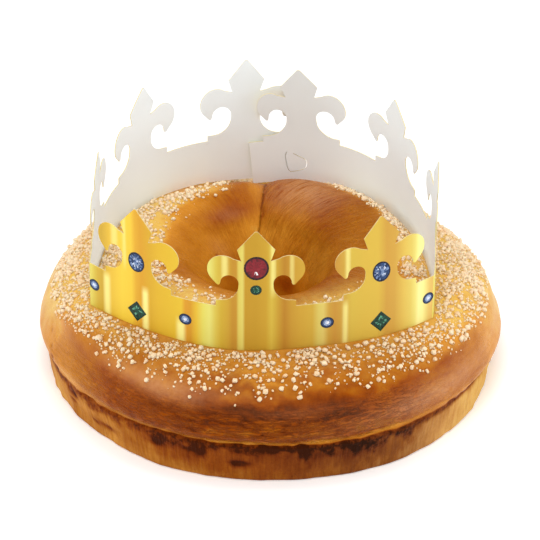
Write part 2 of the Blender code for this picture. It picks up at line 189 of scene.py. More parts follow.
# The cut that hooks the ends: along the strip from the last fleur's middle, and height, in millimetres.
LOCK_CUT = ((9.2, 19.6), (10.1, 17.2), (9.6, 12.5), (9.0, 9.0), (7.5, 6.5), (3.2, 7.2),
            (-0.9, 8.9), (-2.0, 11.8), (-1.4, 14.6), (0.6, 16.0), (3.0, 17.2), (5.4, 18.5))
LOCK_CUT_WIDTH = 0.32 * MM
PRINT_PERIOD = (-112.0, 104.0)  # millimetres along the strip after which the bars repeat
BARS_LEFT = ((-112.0, "dfd66c"), (-103.0, "ddd064"), (-98.0, "cfae3e"), (-94.5, "cba538"), (-88.0, "e6be42"),
             (-80.0, "f1d04a"), (-73.5, "efcb46"), (-70.5, "e0ac38"), (-67.0, "d9a033"), (-61.0, "d8ab36"),
             (-56.0, "dfb639"), (-46.0, "e3be3c"), (-42.0, "e6c340"), (-39.5, "db9d36"), (-36.5, "d79c34"),
             (-33.0, "e5bf42"), (-29.0, "e4dc70"), (-25.5, "e6e386"), (-22.0, "dbc75c"), (-19.0, "d2b142"),
             (-15.0, "cea540"), (-12.8, "c69339"), (-10.6, "c7943a"), (-9.4, "e0ce6c"), (-7.2, "e4d87a"),
             (-5.9, "c69a36"), (0.0, "c69b36"))
BARS_RIGHT = ((0.0, "c69b36"), (5.5, "cda33c"), (8.5, "d7bc50"), (12.0, "caa13f"), (15.5, "bc8533"),
              (19.5, "c99b3e"), (24.0, "cfa543"), (31.0, "d2ad49"), (34.5, "dccb72"), (37.0, "dfcc78"),
              (40.0, "cfa44b"), (43.5, "cb9746"), (47.5, "cfa44c"), (53.0, "d8bb54"), (60.0, "dab952"),
              (68.0, "dab952"), (73.0, "cfa04c"), (78.0, "d1a44f"), (84.0, "dfbf60"), (88.5, "e2cc6e"),
              (91.5, "eadf86"), (94.0, "fbf5b0"), (97.0, "f8f1a4"), (99.5, "ead888"), (101.5, "e4c272"),
              (104.0, "dfb868"))
GLINTS = ((-91.0, 3.2, 0.85), (-64.5, 2.6, 1.0), (49.3, 2.0, 0.8))   # place, half width, strength
LOW_GLINTS = ((-42.3, 3.4, 1.0),)
UPPER_GLINTS = ((-85.0, 3.2, 0.7), (-78.0, 1.6, 0.6), (-17.0, 2.4, 0.9), (9.3, 1.9, 0.9),
                (19.5, 1.6, 0.7), (50.6, 1.8, 0.9), (94.0, 3.4, 0.7))

# Jewels: place from their fleur along the strip, height, half width and half height, in millimetres.
RUBY = (0.2, 53.0, 6.8, 7.5)
SMALL_EMERALD = (0.0, 39.1, 3.1, 3.1)
SAPPHIRE = (-0.1, 41.9, 5.3, 6.3)
EMERALD = (-0.1, 9.9, 6.2, 6.6)
SMALL_SAPPHIRE = (0.0, 14.7, 3.8, 3.5)
SMALL_SAPPHIRE_PLACES = (-240.7, -179.5, -100.6, -39.6, 39.2, 100.6, 179.5, 240.7)
JEWEL_RINGS = (0.0, 0.30, 0.58, 0.84, 1.0)
JEWEL_SECTORS = 24
PRINT_PROUD = 0.06 * MM

# ---- the view ---------------------------------------------------------------------------------
CAMERA_AIM = (-1.16 * MM, -6.18 * MM, 63.28 * MM)
CAMERA_ELEVATION = 31.8
CAMERA_DISTANCE = 2.42
CAMERA_LENS = 287.3
SENSOR_WIDTH = 36.0
LIGHT_AIM = (0.0, 0.0, 60.0 * MM)
SOFT_BOXES = (("key", (-0.2, -1.3, 1.9), (1.0, 0.8)), ("left", (-1.5, -0.1, 0.55), (1.0, 0.8)),
              ("right", (1.5, -0.1, 0.55), (1.0, 0.8)), ("top", (0.0, 0.25, 1.8), (1.4, 1.0)))


def colour(code):
    """A hexadecimal display colour as linear red, green, blue and alpha."""
    shown = np.array([int(code[start:start + 2], 16) for start in (0, 2, 4)]) / 255.0
    linear = np.where(shown <= 0.04045, shown / 12.92, ((shown + 0.055) / 1.055) ** 2.4)
    return (*linear.tolist(), 1.0)


# ---- settings ---------------------------------------------------------------------------------
def tint(name, description, code):
    return FloatVectorProperty(name=name, description=description, subtype="COLOR", size=4,
                               min=0.0, max=1.0, default=colour(code))


def length(name, description, default):
    return FloatProperty(name=name, description=description, subtype="DISTANCE", unit="LENGTH",
                         min=0.0, default=default)


def power(name, description, default):
    return FloatProperty(name=name, description=description, subtype="POWER", unit="POWER",
                         min=0.0, default=default)


def fraction(name, description, default):
    return FloatProperty(name=name, description=description, subtype="FACTOR",
                         min=0.0, max=1.0, default=default)


def amount(name, description, default):
    return FloatProperty(name=name, description=description, min=0.0, default=default)


def at_most(name, description, default):
    return IntProperty(name=name, description=description, min=1, default=default)


class CrustSettings(bpy.types.PropertyGroup):
    lumps: length("Lumps", "Height of the broad unevenness of the dough", 0.75 * MM)
    wrinkles: length("Wrinkles", "Depth of the wrinkles low on the front", 0.30 * MM)
    stretch_lines: length("Stretch lines", "Depth of the lines that run down into the hole", 0.16 * MM)
    flutes: length("Flutes", "Depth of the upright flutes that the mould left in the wall", 0.20 * MM)
    crease: length("Crease", "Depth of the ragged crease between the wall and the bulge", 0.9 * MM)
    seam_depth: length("Seam depth", "Depth of the groove where the two ends of the dough meet", 0.7 * MM)
    seam_dip: length("Seam dip", "How far the crest sags where the two ends of the dough meet", 2.2 * MM)
    straw: tint("Straw", "Palest crust, beside the sugar", "dcb052")
    honey: tint("Honey", "Light crust on the flanks", "cd8626")
    golden: tint("Golden brown", "The crust's main colour", "ad6510")
    russet: tint("Russet", "Well browned crust", "924405")
    chestnut: tint("Chestnut", "Dark glaze low on the front", "762f03")
    umber: tint("Umber", "The darkest glaze", "4a1b06")
    # painted highlight: the soft boxes' pale sheen, blended into the crust's colour
    sheen: tint("Sheen", "Pale bloom where the glaze dried thin", "cf9a72")
    melted: tint("Melted sugar", "Crust under melted and powdery sugar", "e6c76e")
    gleam: tint("Gleam", "Highlights of the egg wash", "ffc585")
    dusty: tint("Dusty", "Pale dry crust of the wall", "cf9f60")
    toasted: tint("Toasted", "Browned dry crust of the wall", "884f20")
    charred: tint("Charred", "Dark edge under the bulge", "5e2d14")
    burnt: tint("Burnt", "Scorched spots on the wall", "241108")
    gloss: fraction("Gloss", "Roughness of the egg wash", 0.30)


class SugarSettings(bpy.types.PropertyGroup):
    nib_size: length("Nib size", "Middle diameter of the pearl sugar", 2.05 * MM)
    nib_density: amount("Nib density", "Nibs for each square millimetre where it is densest", 0.21)
    nib_limit: at_most("Most nibs", "Nibs past this number are left off", 4100)
    chip_size: length("Chip size", "Middle diameter of the broken nibs", 1.45 * MM)
    chip_density: amount("Chip density", "Chips for each square millimetre where densest", 0.36)
    chip_limit: at_most("Most chips", "Chips past this number are left off", 9500)
    grain_size: length("Grain size", "Middle diameter of the fine sugar", 0.75 * MM)
    grain_density: amount("Grain density", "Grains for each square millimetre where densest", 0.45)
    grain_limit: at_most("Most grains", "Grains past this number are left off", 14000)
    cream: tint("Cream", "Colour of the sugar", "efdab8")
    toasted: tint("Toasted", "Colour of the nibs that browned a little", "e6bd8c")


class CrownSettings(bpy.types.PropertyGroup):
    thickness: length("Card thickness", "Thickness of the card", 0.5 * MM)
    waviness: length("Waviness", "How far the card bows out of its loop", 0.35 * MM)
    board: tint("Board", "Bare board inside", "f5fcfd")
    edge: tint("Cut edge", "The board where the die cut it", "d9c98f")
    glint: tint("Glint", "The palest bars of the gold print", "fdf8a8")
    ink: tint("Ink", "Filter that deepens the whole gold print", "f9f6e2")
    varnish: tint("Varnish", "Highlights of the varnish over the gold", "ffe39a")
    gold_gloss: fraction("Gold gloss", "Roughness of the varnish over the gold", 0.38)


class JewelSettings(bpy.types.PropertyGroup):
    ruby: tint("Ruby", "Middle tone of the red jewels", "8c1a26")
    sapphire: tint("Sapphire", "Middle tone of the blue jewels", "2b4a7c")
    emerald: tint("Emerald", "Middle tone of the green jewels", "0f4f3b")
    gloss: fraction("Jewel gloss", "Roughness of the varnish over the jewels", 0.22)


class StageSettings(bpy.types.PropertyGroup):
    floor_size: length("Floor size", "Side of the floor", 6.0)
    floor: tint("Floor", "Colour of the floor", "fbfaf8")
    glow: amount("Floor glow", "Light that the floor gives, like a light table", 0.20)
    sky: amount("Sky", "Strength of the white surroundings", 0.30)
    key_light: power("Key light", "Power of the soft box high in front", 24.0)
    left_light: power("Left light", "Power of the soft box on the left", 8.0)
    right_light: power("Right light", "Power of the soft box on the right", 11.0)
    top_light: power("Top light", "Power of the soft box overhead", 14.5)


# ---- small mathematics ------------------------------------------------------------------------
def rise(value, low, high):
    """Goes smoothly from 0 at low to 1 at high: 3t^2 - 2t^3 of the share t."""
    share = np.clip((value - low) / (high - low), 0.0, 1.0)
    return share * share * (3.0 - 2.0 * share)


def between(value, low, full, fading, gone):
    """0 below low, 1 from full to fading and 0 past gone."""
    return rise(value, low, full) * (1.0 - rise(value, fading, gone))


def hump(value, centre, width):
    """A bell that is 1 at the centre and 1/e one width away: e to the minus square."""
    return np.exp(-((value - centre) / width) ** 2)


def wrapped(degrees):
    """Degrees brought into -180 to 180."""
    return (degrees + 180.0) % 360.0 - 180.0


def waves(angle, terms):
    """A sum of cosines round the ring: (lobes, swing, direction of the bulge in degrees)."""
    return sum(swing * np.cos(lobes * (angle - np.radians(turn))) for lobes, swing, turn in terms)


def lattice_noise(places, size, seed):
    """Smooth noise from -1 to 1: random values on a lattice, blended between corners by 3t^2 - 2t^3."""
    table = np.random.default_rng(seed).uniform(-1.0, 1.0, (64, 64, 64))
    cell = places / np.asarray(size)
    base = np.floor(cell).astype(int)
    share = cell - base
    share = share * share * (3.0 - 2.0 * share)
    total = np.zeros(places.shape[:-1])
    for corner in np.ndindex(2, 2, 2):
        index = (base + corner) % 64
        weight = np.prod(np.where(corner, share, 1.0 - share), axis=-1)
        total += weight * table[index[..., 0], index[..., 1], index[..., 2]]
    return total


def along_knots(knots, row):
    """A cubic through the knots (Catmull-Rom), for every direction at once. Rows count the knots."""
    first = 2 * knots[:, :1] - knots[:, 1:2]
    last = 2 * knots[:, -1:] - knots[:, -2:-1]
    padded = np.concatenate([first, knots, last], axis=1)
    start = np.minimum(row.astype(int), knots.shape[1] - 2)
    share = (row - start)[None, :, None]
    before, here, after, beyond = (padded[:, start + step] for step in range(4))
    return 0.5 * (2 * here + (after - before) * share
                  + (2 * before - 5 * here + 4 * after - beyond) * share ** 2
                  + (3 * here - before - 3 * after + beyond) * share ** 3)


# ---- the crown's loop -------------------------------------------------------------------------
def loop_radius(angle):
    """The loop's radius round its own centre.

    It is the closed wave through LOOP_RADII, from their Fourier terms, plus for each fold an
    exponential that falls off to both sides, so that it comes to a point.
    """
    radii = np.array(LOOP_RADII) * MM
    terms = np.fft.rfft(radii) / len(radii)
    weights = np.full(len(terms), 2.0)
    weights[0] = weights[-1] = 1.0
    total = np.zeros_like(angle)
    for lobes, (term, weight) in enumerate(zip(terms, weights)):
        total += weight * (term * np.exp(1j * lobes * angle)).real
    for direction, stand, reach in FOLDS:
        total += stand * MM * np.exp(-np.abs(wrapped(np.degrees(angle) - direction)) / reach)
    return total


def loop_point(angle, offset):
    """A point of the loop in plan, seen from the middle of the ring, moved outwards by offset."""
    radius = loop_radius(angle) + offset
    return CROWN_CENTRE[0] + radius * np.sin(angle), CROWN_CENTRE[1] - radius * np.cos(angle)


def crown_floor(x, y):
    """Height of the crown's lower edge over a point in plan: a slightly tilted plane."""
    tilt = CROWN_SLOPE[0] * (x - CROWN_CENTRE[0]) + CROWN_SLOPE[1] * (y - CROWN_CENTRE[1])
    return CROWN_BASE_HEIGHT + tilt


def crown_line(angle):
    """Radius and height, seen from the middle of the ring, of the line that the crown rests on."""
    around = np.radians(np.arange(-200.0, 200.0, 1.0))
    x, y = loop_point(around, 0.0)
    turn = np.arctan2(x, -y) - around
    direction = around + (turn + np.pi) % (2 * np.pi) - np.pi
    window = np.hanning(2 * SEAT_ROUNDING + 1)
    rounded = np.convolve(np.hypot(x, y), window / window.sum(), mode="same")
    inside = slice(SEAT_ROUNDING, -SEAT_ROUNDING)
    radius = np.interp(angle, direction[inside], rounded[inside])
    height = crown_floor(radius * np.sin(angle), -radius * np.cos(angle)) - SEAT_CLEARANCE
    from_lap = np.abs(wrapped(np.degrees(angle) - 180.0))
    return radius, height - SEAT_DIP * hump(from_lap, 0.0, SEAT_DIP_WIDTH)


def off_the_card(points):
    """How far points, seen from the middle of the ring, lie from the card in plan."""
    x = points[..., 0] - CROWN_CENTRE[0]
    y = points[..., 1] - CROWN_CENTRE[1]
    return np.abs(np.hypot(x, y) - loop_radius(np.arctan2(x, -y)))


# ---- the ring ---------------------------------------------------------------------------------
def side_bells(angle, bells):
    """Bells round the ring, added up: (direction, half width, height)."""
    degrees = np.degrees(angle)
    return sum(height * hump(wrapped(degrees - turn), 0.0, width) for turn, width, height in bells)


def ledge_line(angle):
    """Radius and height of the crease between the wall and the bulge."""
    height = LEDGE_HEIGHT - LEDGE_SAG_TO_RIGHT * LEDGE_RADIUS * np.sin(angle)
    return LEDGE_RADIUS + waves(angle, FOOT_WAVES), height


def seam_direction(row):
    """The seam starts behind, at the crest, and turns further round as it goes down into the funnel."""
    return SEAM_TOP + SEAM_TURN * np.clip(CREST - row, 0.0, 3.0)


def seam_share(angle, row, fold=SEAM_FOLD):
    """How far the raised end swells: 0 left of the seam, 1 past its fold, fading round the right side."""
    past = (seam_direction(row) - np.degrees(angle)) % 360.0
    return np.exp(-past / SEAM_FADE) * rise(past, 0.0, fold)


def outline_knots(angle):
    """The outline's knots in every direction: an array of directions, knots, then radius and height."""
    seat_radius, seat_height = crown_line(angle)
    bulge = BULGE_RADIUS + waves(angle, BULGE_WAVES)
    ledge, ledge_height = ledge_line(angle)
    crest_radius = CREST_RADIUS + CREST_FOLLOWS_CROWN * (seat_radius - np.mean(LOOP_RADII) * MM)
    crest_height = CREST_HEIGHT + CREST_RISE * np.cos(angle - np.radians(CREST_RISE_DIRECTION))
    swing = waves(angle, FUNNEL_WAVES)
    knots = [(HOLE_FOOT_RADIUS, 0.0)]
    for step, (radius, height, share) in enumerate(reversed(FUNNEL), start=1):
        bulging = swing - SEAM_BULGE * seam_share(angle, step)
        knots.append((radius * MM + share * bulging, height * MM))
    seam = seam_share(angle, LIP)
    knots.append((LIP_RADIUS + swing - SEAM_BULGE * seam, LIP_HEIGHT + 0.8 * SEAM_RISE * seam))
    sag = side_bells(angle, BACK_SAG)
    knots.append((crest_radius, crest_height - sag + SEAM_RISE * seam_share(angle, CREST, CREST_FOLD)))
    knots.append((seat_radius, seat_height))
    knots.append((seat_radius + SHOULDER_SHARE * (bulge - seat_radius), SHOULDER_HEIGHT))
    knots.append((bulge - HAUNCH[0], HAUNCH[1]))
    knots.append((bulge, BULGE_HEIGHT))
    knots.append((ledge - LEDGE_STEP, ledge_height))
    pairs = [np.stack(np.broadcast_arrays(radius + 0.0 * angle, height), axis=-1)
             for radius, height in knots]
    return np.stack(pairs, axis=1)


def dome_rows():
    """Row numbers over the dome, close together where the crust is seen best."""
    steps = [step + np.arange(count) / count for step, count in enumerate(ROWS_PER_STEP)]
    return np.concatenate(steps + [[float(CREASE)]])


def smooth_ring(tucks=WALL_TUCKS):
    """The ring without relief: its points as (directions, rows, xyz), the directions and the rows.

    The dome comes from the outline's knots, the wall runs straight down from the tucked crease, the toe
    is a quarter circle, and the underside is flat.
    """
    angle = np.linspace(-np.pi, np.pi, POINTS_AROUND, endpoint=False)
    rows = dome_rows()
    dome = along_knots(outline_knots(angle), rows)
    foot = (FOOT_RADIUS + waves(angle, FOOT_WAVES))[:, None]
    ledge, ledge_height = ledge_line(angle)
    ledge = (ledge - side_bells(angle, tucks))[:, None]
    top = ledge_height[:, None] - LEDGE_STEP
    down = np.linspace(0.0, 1.0, WALL_ROWS)[None, :]
    wall = np.stack([ledge + (foot - ledge) * down, top + (FOOT_ROUNDING - top) * down], axis=-1)
    bend = np.linspace(0.0, np.pi / 2, FOOT_ROWS + 1)[None, 1:]
    toe = np.stack(np.broadcast_arrays(foot - FOOT_ROUNDING * (1 - np.cos(bend)),
                                       FOOT_ROUNDING * (1 - np.sin(bend))), axis=-1)
    inwards = (np.arange(1, UNDERSIDE_ROWS) / UNDERSIDE_ROWS)[None, :]
    sole_radius = foot - FOOT_ROUNDING + (HOLE_FOOT_RADIUS - foot + FOOT_ROUNDING) * inwards
    sole = np.stack([sole_radius, np.zeros_like(sole_radius)], axis=-1)
    outline = np.concatenate([dome, wall, toe, sole], axis=1)
    rows = np.concatenate([rows, CREASE + 0.02 + 0.96 * down[0], WALL_FOOT + 0.1 * np.arange(FOOT_ROWS),
                           UNDERSIDE - 0.5 + 0.5 * inwards[0]])
    radius, height, around = outline[..., 0], outline[..., 1], angle[:, None]
    points = np.stack([radius * np.sin(around), -radius * np.cos(around), height], axis=-1)
    return points, angle, rows


def outward_normals(points):
    """Normals of the closed grid: the step along the outline crossed with the step round the ring."""
    around = np.roll(points, -1, axis=0) - np.roll(points, 1, axis=0)
    along = np.roll(points, -1, axis=1) - np.roll(points, 1, axis=1)
    normal = np.cross(along, around)
    return normal / np.maximum(np.linalg.norm(normal, axis=-1, keepdims=True), 1e-12)


def belt_places(points, angle, slant=0.0):
    """Places on an upright belt: the direction at BELT_RADIUS, and how far along the outline a row lies.

    Slant turns a place further round, by that share of how far along it lies.
    """
    steps = np.linalg.norm(np.diff(points, axis=1), axis=-1).mean(axis=0)
    along = np.concatenate([[0.0], np.cumsum(steps)])[None, :]
    direction = angle[:, None] + slant * along / BELT_RADIUS
    return np.stack([BELT_RADIUS * np.sin(direction), -BELT_RADIUS * np.cos(direction),
                     np.broadcast_to(along, direction.shape)], axis=-1)


# ---- the crust --------------------------------------------------------------------------------
def sugar_cover(degrees, row):
    """How thickly sugar lies, 0 to 1: on the shoulder outside the crown, and here and there on the crest."""
    side = np.abs(degrees)
    start = 7.95 + 0.12 * rise(side, 125.0, 145.0)
    edge = 9.55 + 0.35 * rise(side, 40.0, 100.0) - 0.42 * hump(degrees, -61.0, 13.0)
    front = 1.0 - rise(side, 30.0, 75.0)
    outer = between(row, start, start + 0.1, edge - 0.85, edge + 0.12)
    outer = outer * (1.0 - front * (0.30 + 0.40 * rise(row, 8.25, 8.9)))
    reach = 6.95 - 0.55 * hump(degrees, -45.0, 32.0)
    left = 0.85 * between(-degrees, 8.0, 22.0, 150.0, 166.0) * rise(row, reach - 0.30, reach + 0.15)
    left = left * (1.0 - 0.45 * hump(degrees, -42.0, 26.0))
    left = np.maximum(left, 0.35 * hump(degrees, -98.0, 22.0) * rise(row, 6.2, 6.6))
    left = left * (1.0 - rise(row, 7.35, 7.6) * rise(-degrees, 128.0, 142.0))
    right = 0.75 * between(degrees, 52.0, 80.0, 146.0, 158.0) * rise(row, 6.95, 7.30)
    front_edge = 0.50 * rise(row, 6.55, 6.85) * hump(degrees, 30.0, 22.0)
    inner = np.maximum(np.maximum(left, right), front_edge)
    return np.maximum(outer, inner * (1.0 - rise(row, 7.95, 8.05)))


def oval_marks(degrees, row, marks):
    """Bells at the places of the marks, added up: (direction, row, half width, half height, strength)."""
    return sum(strength * hump(wrapped(degrees - turn), 0.0, width) * hump(row, level, height)
               for turn, level, width, height, strength in marks)


def round_marks(degrees, row, marks):
    """The same for marks that are round on the crust: (direction, row, radius, strength)."""
    return sum(strength * hump(np.hypot(wrapped(degrees - turn) * MM_PER_DEGREE, (row - level) * MM_PER_ROW),
                               0.0, radius) for turn, level, radius, strength in marks)


class Dough:
    """The smooth ring with all that is uneven about it: noises from -1 to 1, zones and lines from 0 to 1.

    Relief and colour share them, so that a wrinkle is darker where it is deep. Noises take their name
    from their size or what they make. Zones are the dome, the wall, the front low on the dome, and the
    funnel. Lines are bells where a stretched noise crosses zero: along the ring in front, down into the
    hole in the funnel, upright on the wall.
    """

    def __init__(self):
        self.points, self.angle, self.rows = smooth_ring()
        self.degrees, self.row = np.degrees(self.angle)[:, None], self.rows[None, :]
        self.belt = belt_places(self.points, self.angle)
        self.add_noises()
        self.add_zones()
        self.add_lines()

    def add_noises(self):
        points, belt = self.points, self.belt
        self.broad = lattice_noise(points, 34 * MM, 11)
        self.middle = lattice_noise(points, 15 * MM, 12)
        self.small = lattice_noise(points, 6 * MM, 13)
        self.ragged = lattice_noise(belt, (7 * MM, 7 * MM, 40 * MM), 20)
        self.ragged_finer = lattice_noise(belt, (3.2 * MM, 3.2 * MM, 2.4 * MM), 21)
        self.upright = lattice_noise(belt, (2.6 * MM, 2.6 * MM, 20 * MM), 18)
        self.veins = lattice_noise(belt + 0.006 * self.small[..., None], (9 * MM, 9 * MM, 5 * MM), 22)

    def add_zones(self):
        degrees, row = self.degrees, self.row
        seam_start = seam_direction(row) - 360.0
        self.from_seam = (degrees - seam_start) % 360.0 + seam_start    # degrees whose jump lies in the seam
        self.right_side = rise(self.from_seam, 15.0, 60.0)
        self.dome = between(row, 0.6, 2.5, 11.6, 12.0)
        self.wall = between(row, 12.0, 12.08, 12.9, 13.0)
        self.front = hump(degrees, 6.0, 62.0) * between(row, 9.3, 10.2, 11.6, 12.0)
        pulled = 0.35 + 0.65 * rise(self.from_seam, 20.0, 70.0) + 0.3 * hump(self.from_seam, -150.0, 25.0)
        self.funnel = between(row, 3.2, 4.6, 6.9, 7.5) * pulled

    def add_lines(self):
        degrees, row, belt = self.degrees, self.row, self.belt
        ripples = lattice_noise(belt + 0.004 * self.middle[..., None], (17 * MM, 17 * MM, 2.7 * MM), 14)
        fine_ripples = lattice_noise(belt, (9 * MM, 9 * MM, 1.7 * MM), 15)
        self.ripple_lines = self.front * (hump(ripples, 0.0, 0.16) + 0.6 * hump(fine_ripples, 0.0, 0.18))

        lean = 0.4 * self.right_side + 0.7 * rise(self.from_seam, 80.0, 150.0)
        self.slanted = belt_places(self.points, self.angle, lean * (1.0 - rise(row, 7.4, 8.0)))
        pulls = lattice_noise(self.slanted, (3.4 * MM, 3.4 * MM, 15 * MM), 16)
        fine_pulls = lattice_noise(self.slanted, (2.2 * MM, 2.2 * MM, 8 * MM), 17)
        self.pull_lines = self.funnel * (hump(pulls, 0.0, 0.20) + 0.5 * hump(fine_pulls, 0.0, 0.22))

        patches = lattice_noise(self.points, (16 * MM, 16 * MM, 30 * MM), 19)
        fluted = self.wall * rise(patches + 0.5 * hump(degrees, 32.0, 34.0), -0.25, 0.55)
        self.flute_lines = fluted * hump(self.upright, 0.0, 0.26)

        beside = wrapped(degrees - seam_direction(row))
        self.seam_line = hump(beside + 0.6 - 1.2 * self.small, 0.0, 0.9) * between(row, 3.4, 4.8, 6.9, 7.9)
        self.seam_dip = hump(beside, 1.5, 5.5) * hump(row, 7.25, 0.75)
        self.pits = round_marks(degrees, row, PITS)
        self.scorches = oval_marks(degrees + 1.2 * self.small, row + 0.02 * self.middle, SCORCHES)


def crust_surface(dough, crust):
    """The crust: every point of the smooth ring moved along its normal.

    Lumps (noise of 34, 15 and 6 mm) and the overhang at the sides go outwards. The dough's lines, the
    ragged crease, the seam, the dents, the pits and the scorches go inwards, each a depth times its bell.
    Then noise moves the crease up and down and the toe in and out.
    """
    degrees, row, small, middle = dough.degrees, dough.row, dough.small, dough.middle
    free_of_card = 1.0 - 0.9 * hump(row, SEAT, 0.30)
    at_crease = hump(row, CREASE, 0.16)
    ragged = 0.5 + 0.5 * dough.ragged + 0.4 * dough.ragged_finer
    out = crust.lumps * (dough.broad + 0.5 * middle + 0.16 * small) * free_of_card * dough.dome
    out = out - crust.wrinkles * dough.ripple_lines - crust.stretch_lines * dough.pull_lines
    out = out - crust.flutes * dough.flute_lines - crust.crease * at_crease * ragged
    out = out - crust.seam_depth * dough.seam_line - crust.seam_dip * dough.seam_dip
    out = out + side_bells(dough.angle, OVERHANGS)[:, None] * hump(row, 11.5, 0.7) * dough.dome
    out = out - MM * (oval_marks(degrees, row, DENTS) + dough.pits + 0.8 * dough.scorches)
    out = out + MM * (0.12 * small + 0.2 * middle) * dough.wall
    out = np.where(row >= WALL_FOOT, 0.0, out)
    surface = dough.points + outward_normals(dough.points) * out[..., None]

    fringe = 0.42 * dough.ragged + 0.56 * dough.ragged_finer
    surface[..., 2] += MM * fringe * hump(row, CREASE, 0.22)
    surface[..., 2] -= side_bells(dough.angle, LOWER_CREASE)[:, None] * hump(row, CREASE, 0.45)
    toe = 0.5 * MM * (middle + small) - side_bells(dough.angle, TOE_TUCKS)[:, None]
    toe = toe * between(row, 12.3, 12.9, 13.2, 13.6)
    surface[..., 0] += toe * np.sin(dough.angle)[:, None]
    surface[..., 1] -= toe * np.cos(dough.angle)[:, None]
    return surface


def dome_browning(dough, cover):
    """Browning of the glazed crust: darkest low on the front, pale on the flanks and at the crease."""
    degrees, row, from_seam = dough.degrees, dough.row, dough.from_seam
    side = np.abs(degrees)
    under_sugar = 0.02 + 0.40 * np.maximum(rise(side, 30.0, 72.0), 1.0 - rise(row, 7.9, 8.1))
    brown = 0.45 - under_sugar * cover
    brown = brown + 0.216 * hump(degrees, -2.0, 48.0) * between(row, 9.15, 10.05, 11.1, 11.8)
    brown = brown - 0.17 * rise(side, 42.0, 78.0) * between(row, 8.9, 9.7, 11.2, 12.0)
    brown = brown - 0.16 * rise(side, 66.0, 92.0) * between(row, 9.2, 9.9, 11.0, 11.8)
    brown = brown - 0.17 * hump(row, 11.72 + 0.1 * dough.ragged_finer, 0.24) * dough.dome
    brown = brown - 0.30 * hump(from_seam, -145.0, 24.0) * rise(row, 7.2, 7.5)
    among_nibs = hump(degrees, 2.0, 46.0) * between(row, 8.5, 9.0, 9.6, 9.9)
    brown = brown + among_nibs * (0.13 + 0.20 * dough.veins + 0.06 * dough.middle)
    in_hole = rise(6.9 - row, 0.0, 0.6) * rise(row, 2.5, 4.0)
    brown = brown + (0.03 + 0.03 * dough.right_side) * in_hole
    brown = brown + 0.10 * dough.broad + 0.07 * dough.middle + 0.04 * dough.small
    # darker along the wrinkles, the lines in the funnel and the seam, where the relief is deepest
    brown = brown + 0.16 * dough.ripple_lines + 0.05 * dough.pull_lines + 0.14 * dough.seam_line
    return brown + oval_marks(degrees, row, BLOTCHES)


def wall_browning(dough):
    """Browning of the dry wall: darkest in front and at its top, palest on the right."""
    degrees, row = dough.degrees, dough.row
    facing = hump(degrees, 4.0, 42.0)
    brown = 0.27 + 0.04 * hump(degrees, -62.0, 26.0) + 0.40 * facing
    brown = brown - 0.34 * hump(degrees, 68.0, 26.0) * rise(row, 12.04, 12.20)
    brown = brown + 0.13 * facing * (1.0 - rise(row, 12.15, 12.65)) - 0.10 * rise(row, 12.6, 12.95)
    return brown + 0.07 * dough.broad + 0.12 * dough.middle + 0.08 * dough.small + 0.10 * dough.flute_lines


def charred_edge(dough):
    """The dark edge under the bulge: ragged, with drips in front, and stronger at the sides."""
    degrees, row, upright = dough.degrees, dough.row, dough.upright
    drips = np.clip(upright - 0.15, 0.0, 1.0) * hump(degrees, -30.0, 55.0)
    drips = drips + 1.3 * np.clip(upright + 0.25, 0.0, 1.0) * hump(degrees, 24.0, 18.0)
    depth = 0.12 + 0.06 * dough.ragged + 0.06 * dough.ragged_finer + 0.34 * drips
    depth = depth * (1.0 - 0.45 * hump(degrees, 62.0, 26.0))
    jags = 0.9 + 0.9 * dough.ragged + 0.7 * dough.ragged_finer
    depth = depth + 0.11 * hump(degrees, -46.0, 22.0) * jags
    edge = rise(row, 11.94, 12.0) * (1.0 - rise(row - CREASE, 0.55 * depth, 1.5 * depth + 0.03))
    return edge * (1.0 + 0.9 * hump(np.abs(degrees), 72.0, 22.0))


def sugar_film(dough, cover):
    """Pale crust: powdery or melted sugar between the nibs and on the crest, and the paler far flanks."""
    degrees, row = dough.degrees, dough.row
    outside = rise(row, 7.9, 8.1)
    dust = cover * (0.55 + 0.45 * rise(dough.small, -0.4, 0.5))
    dust = dust * (1.0 - 0.25 * outside * hump(degrees, 5.0, 42.0))
    # paler far flanks low on the bulge, where no sugar lies
    pale_flanks = 0.95 * hump(np.abs(degrees), 96.0, 15.0) * hump(row, 10.2, 0.9)
    left = 1.6 * hump(degrees, -42.0, 26.0) * between(row, 6.35, 6.7, 7.9, 8.0)
    right = 0.9 * hump(degrees, 30.0, 22.0) * between(row, 6.0, 6.7, 7.9, 8.0)
    return np.maximum(np.maximum(dust, pale_flanks), np.maximum(left, right))


def crust_masks(dough):
    """What the crust's material reads at each point. Browning is 0 for straw and 1 for burnt."""
    degrees, row = dough.degrees, dough.row
    cover = sugar_cover(degrees, row)
    on_wall = rise(row, 11.93, 12.04)
    brown = dome_browning(dough, cover) * (1.0 - on_wall) + wall_browning(dough) * on_wall
    brown = brown + 0.5 * np.clip(dough.pits, 0.0, 1.0) + 0.75 * np.clip(dough.scorches, 0.0, 1.0)
    brown = np.where(row >= 13.2, 0.55 + 0.1 * dough.broad, brown)
    wall = rise(row, 11.96, 12.04)
    ripples = dough.front * (1.0 - 0.65 * rise(degrees, 24.0, 50.0))
    # painted highlights: where the soft boxes' pale sheen is blended into the colour
    sheen = oval_marks(degrees + 3.0 * dough.middle, row + 0.1 * dough.middle, PAINTED_SHEENS)
    masks = {
        "browning": np.clip(brown, 0.0, 1.0),
        "egg_wash": between(row, 1.5, 3.5, 11.8, 12.05),
        # sugar between the nibs and on the crest, and the paler far flanks
        "sugar_dust": sugar_film(dough, cover),
        "wall": wall,
        "ripples": np.clip(ripples + 0.5 * hump(degrees, 28.0, 26.0) * hump(row, 6.9, 0.6), 0.0, 1.0),
        "pulled": np.clip(dough.funnel, 0.0, 1.0),
        "charred": charred_edge(dough),
        "dry": wall * (0.35 + 0.6 * hump(degrees, 32.0, 26.0)),
        "sheen": np.clip(sheen, 0.0, 1.0),
    }
    return {name: np.broadcast_to(values, brown.shape) for name, values in masks.items()}


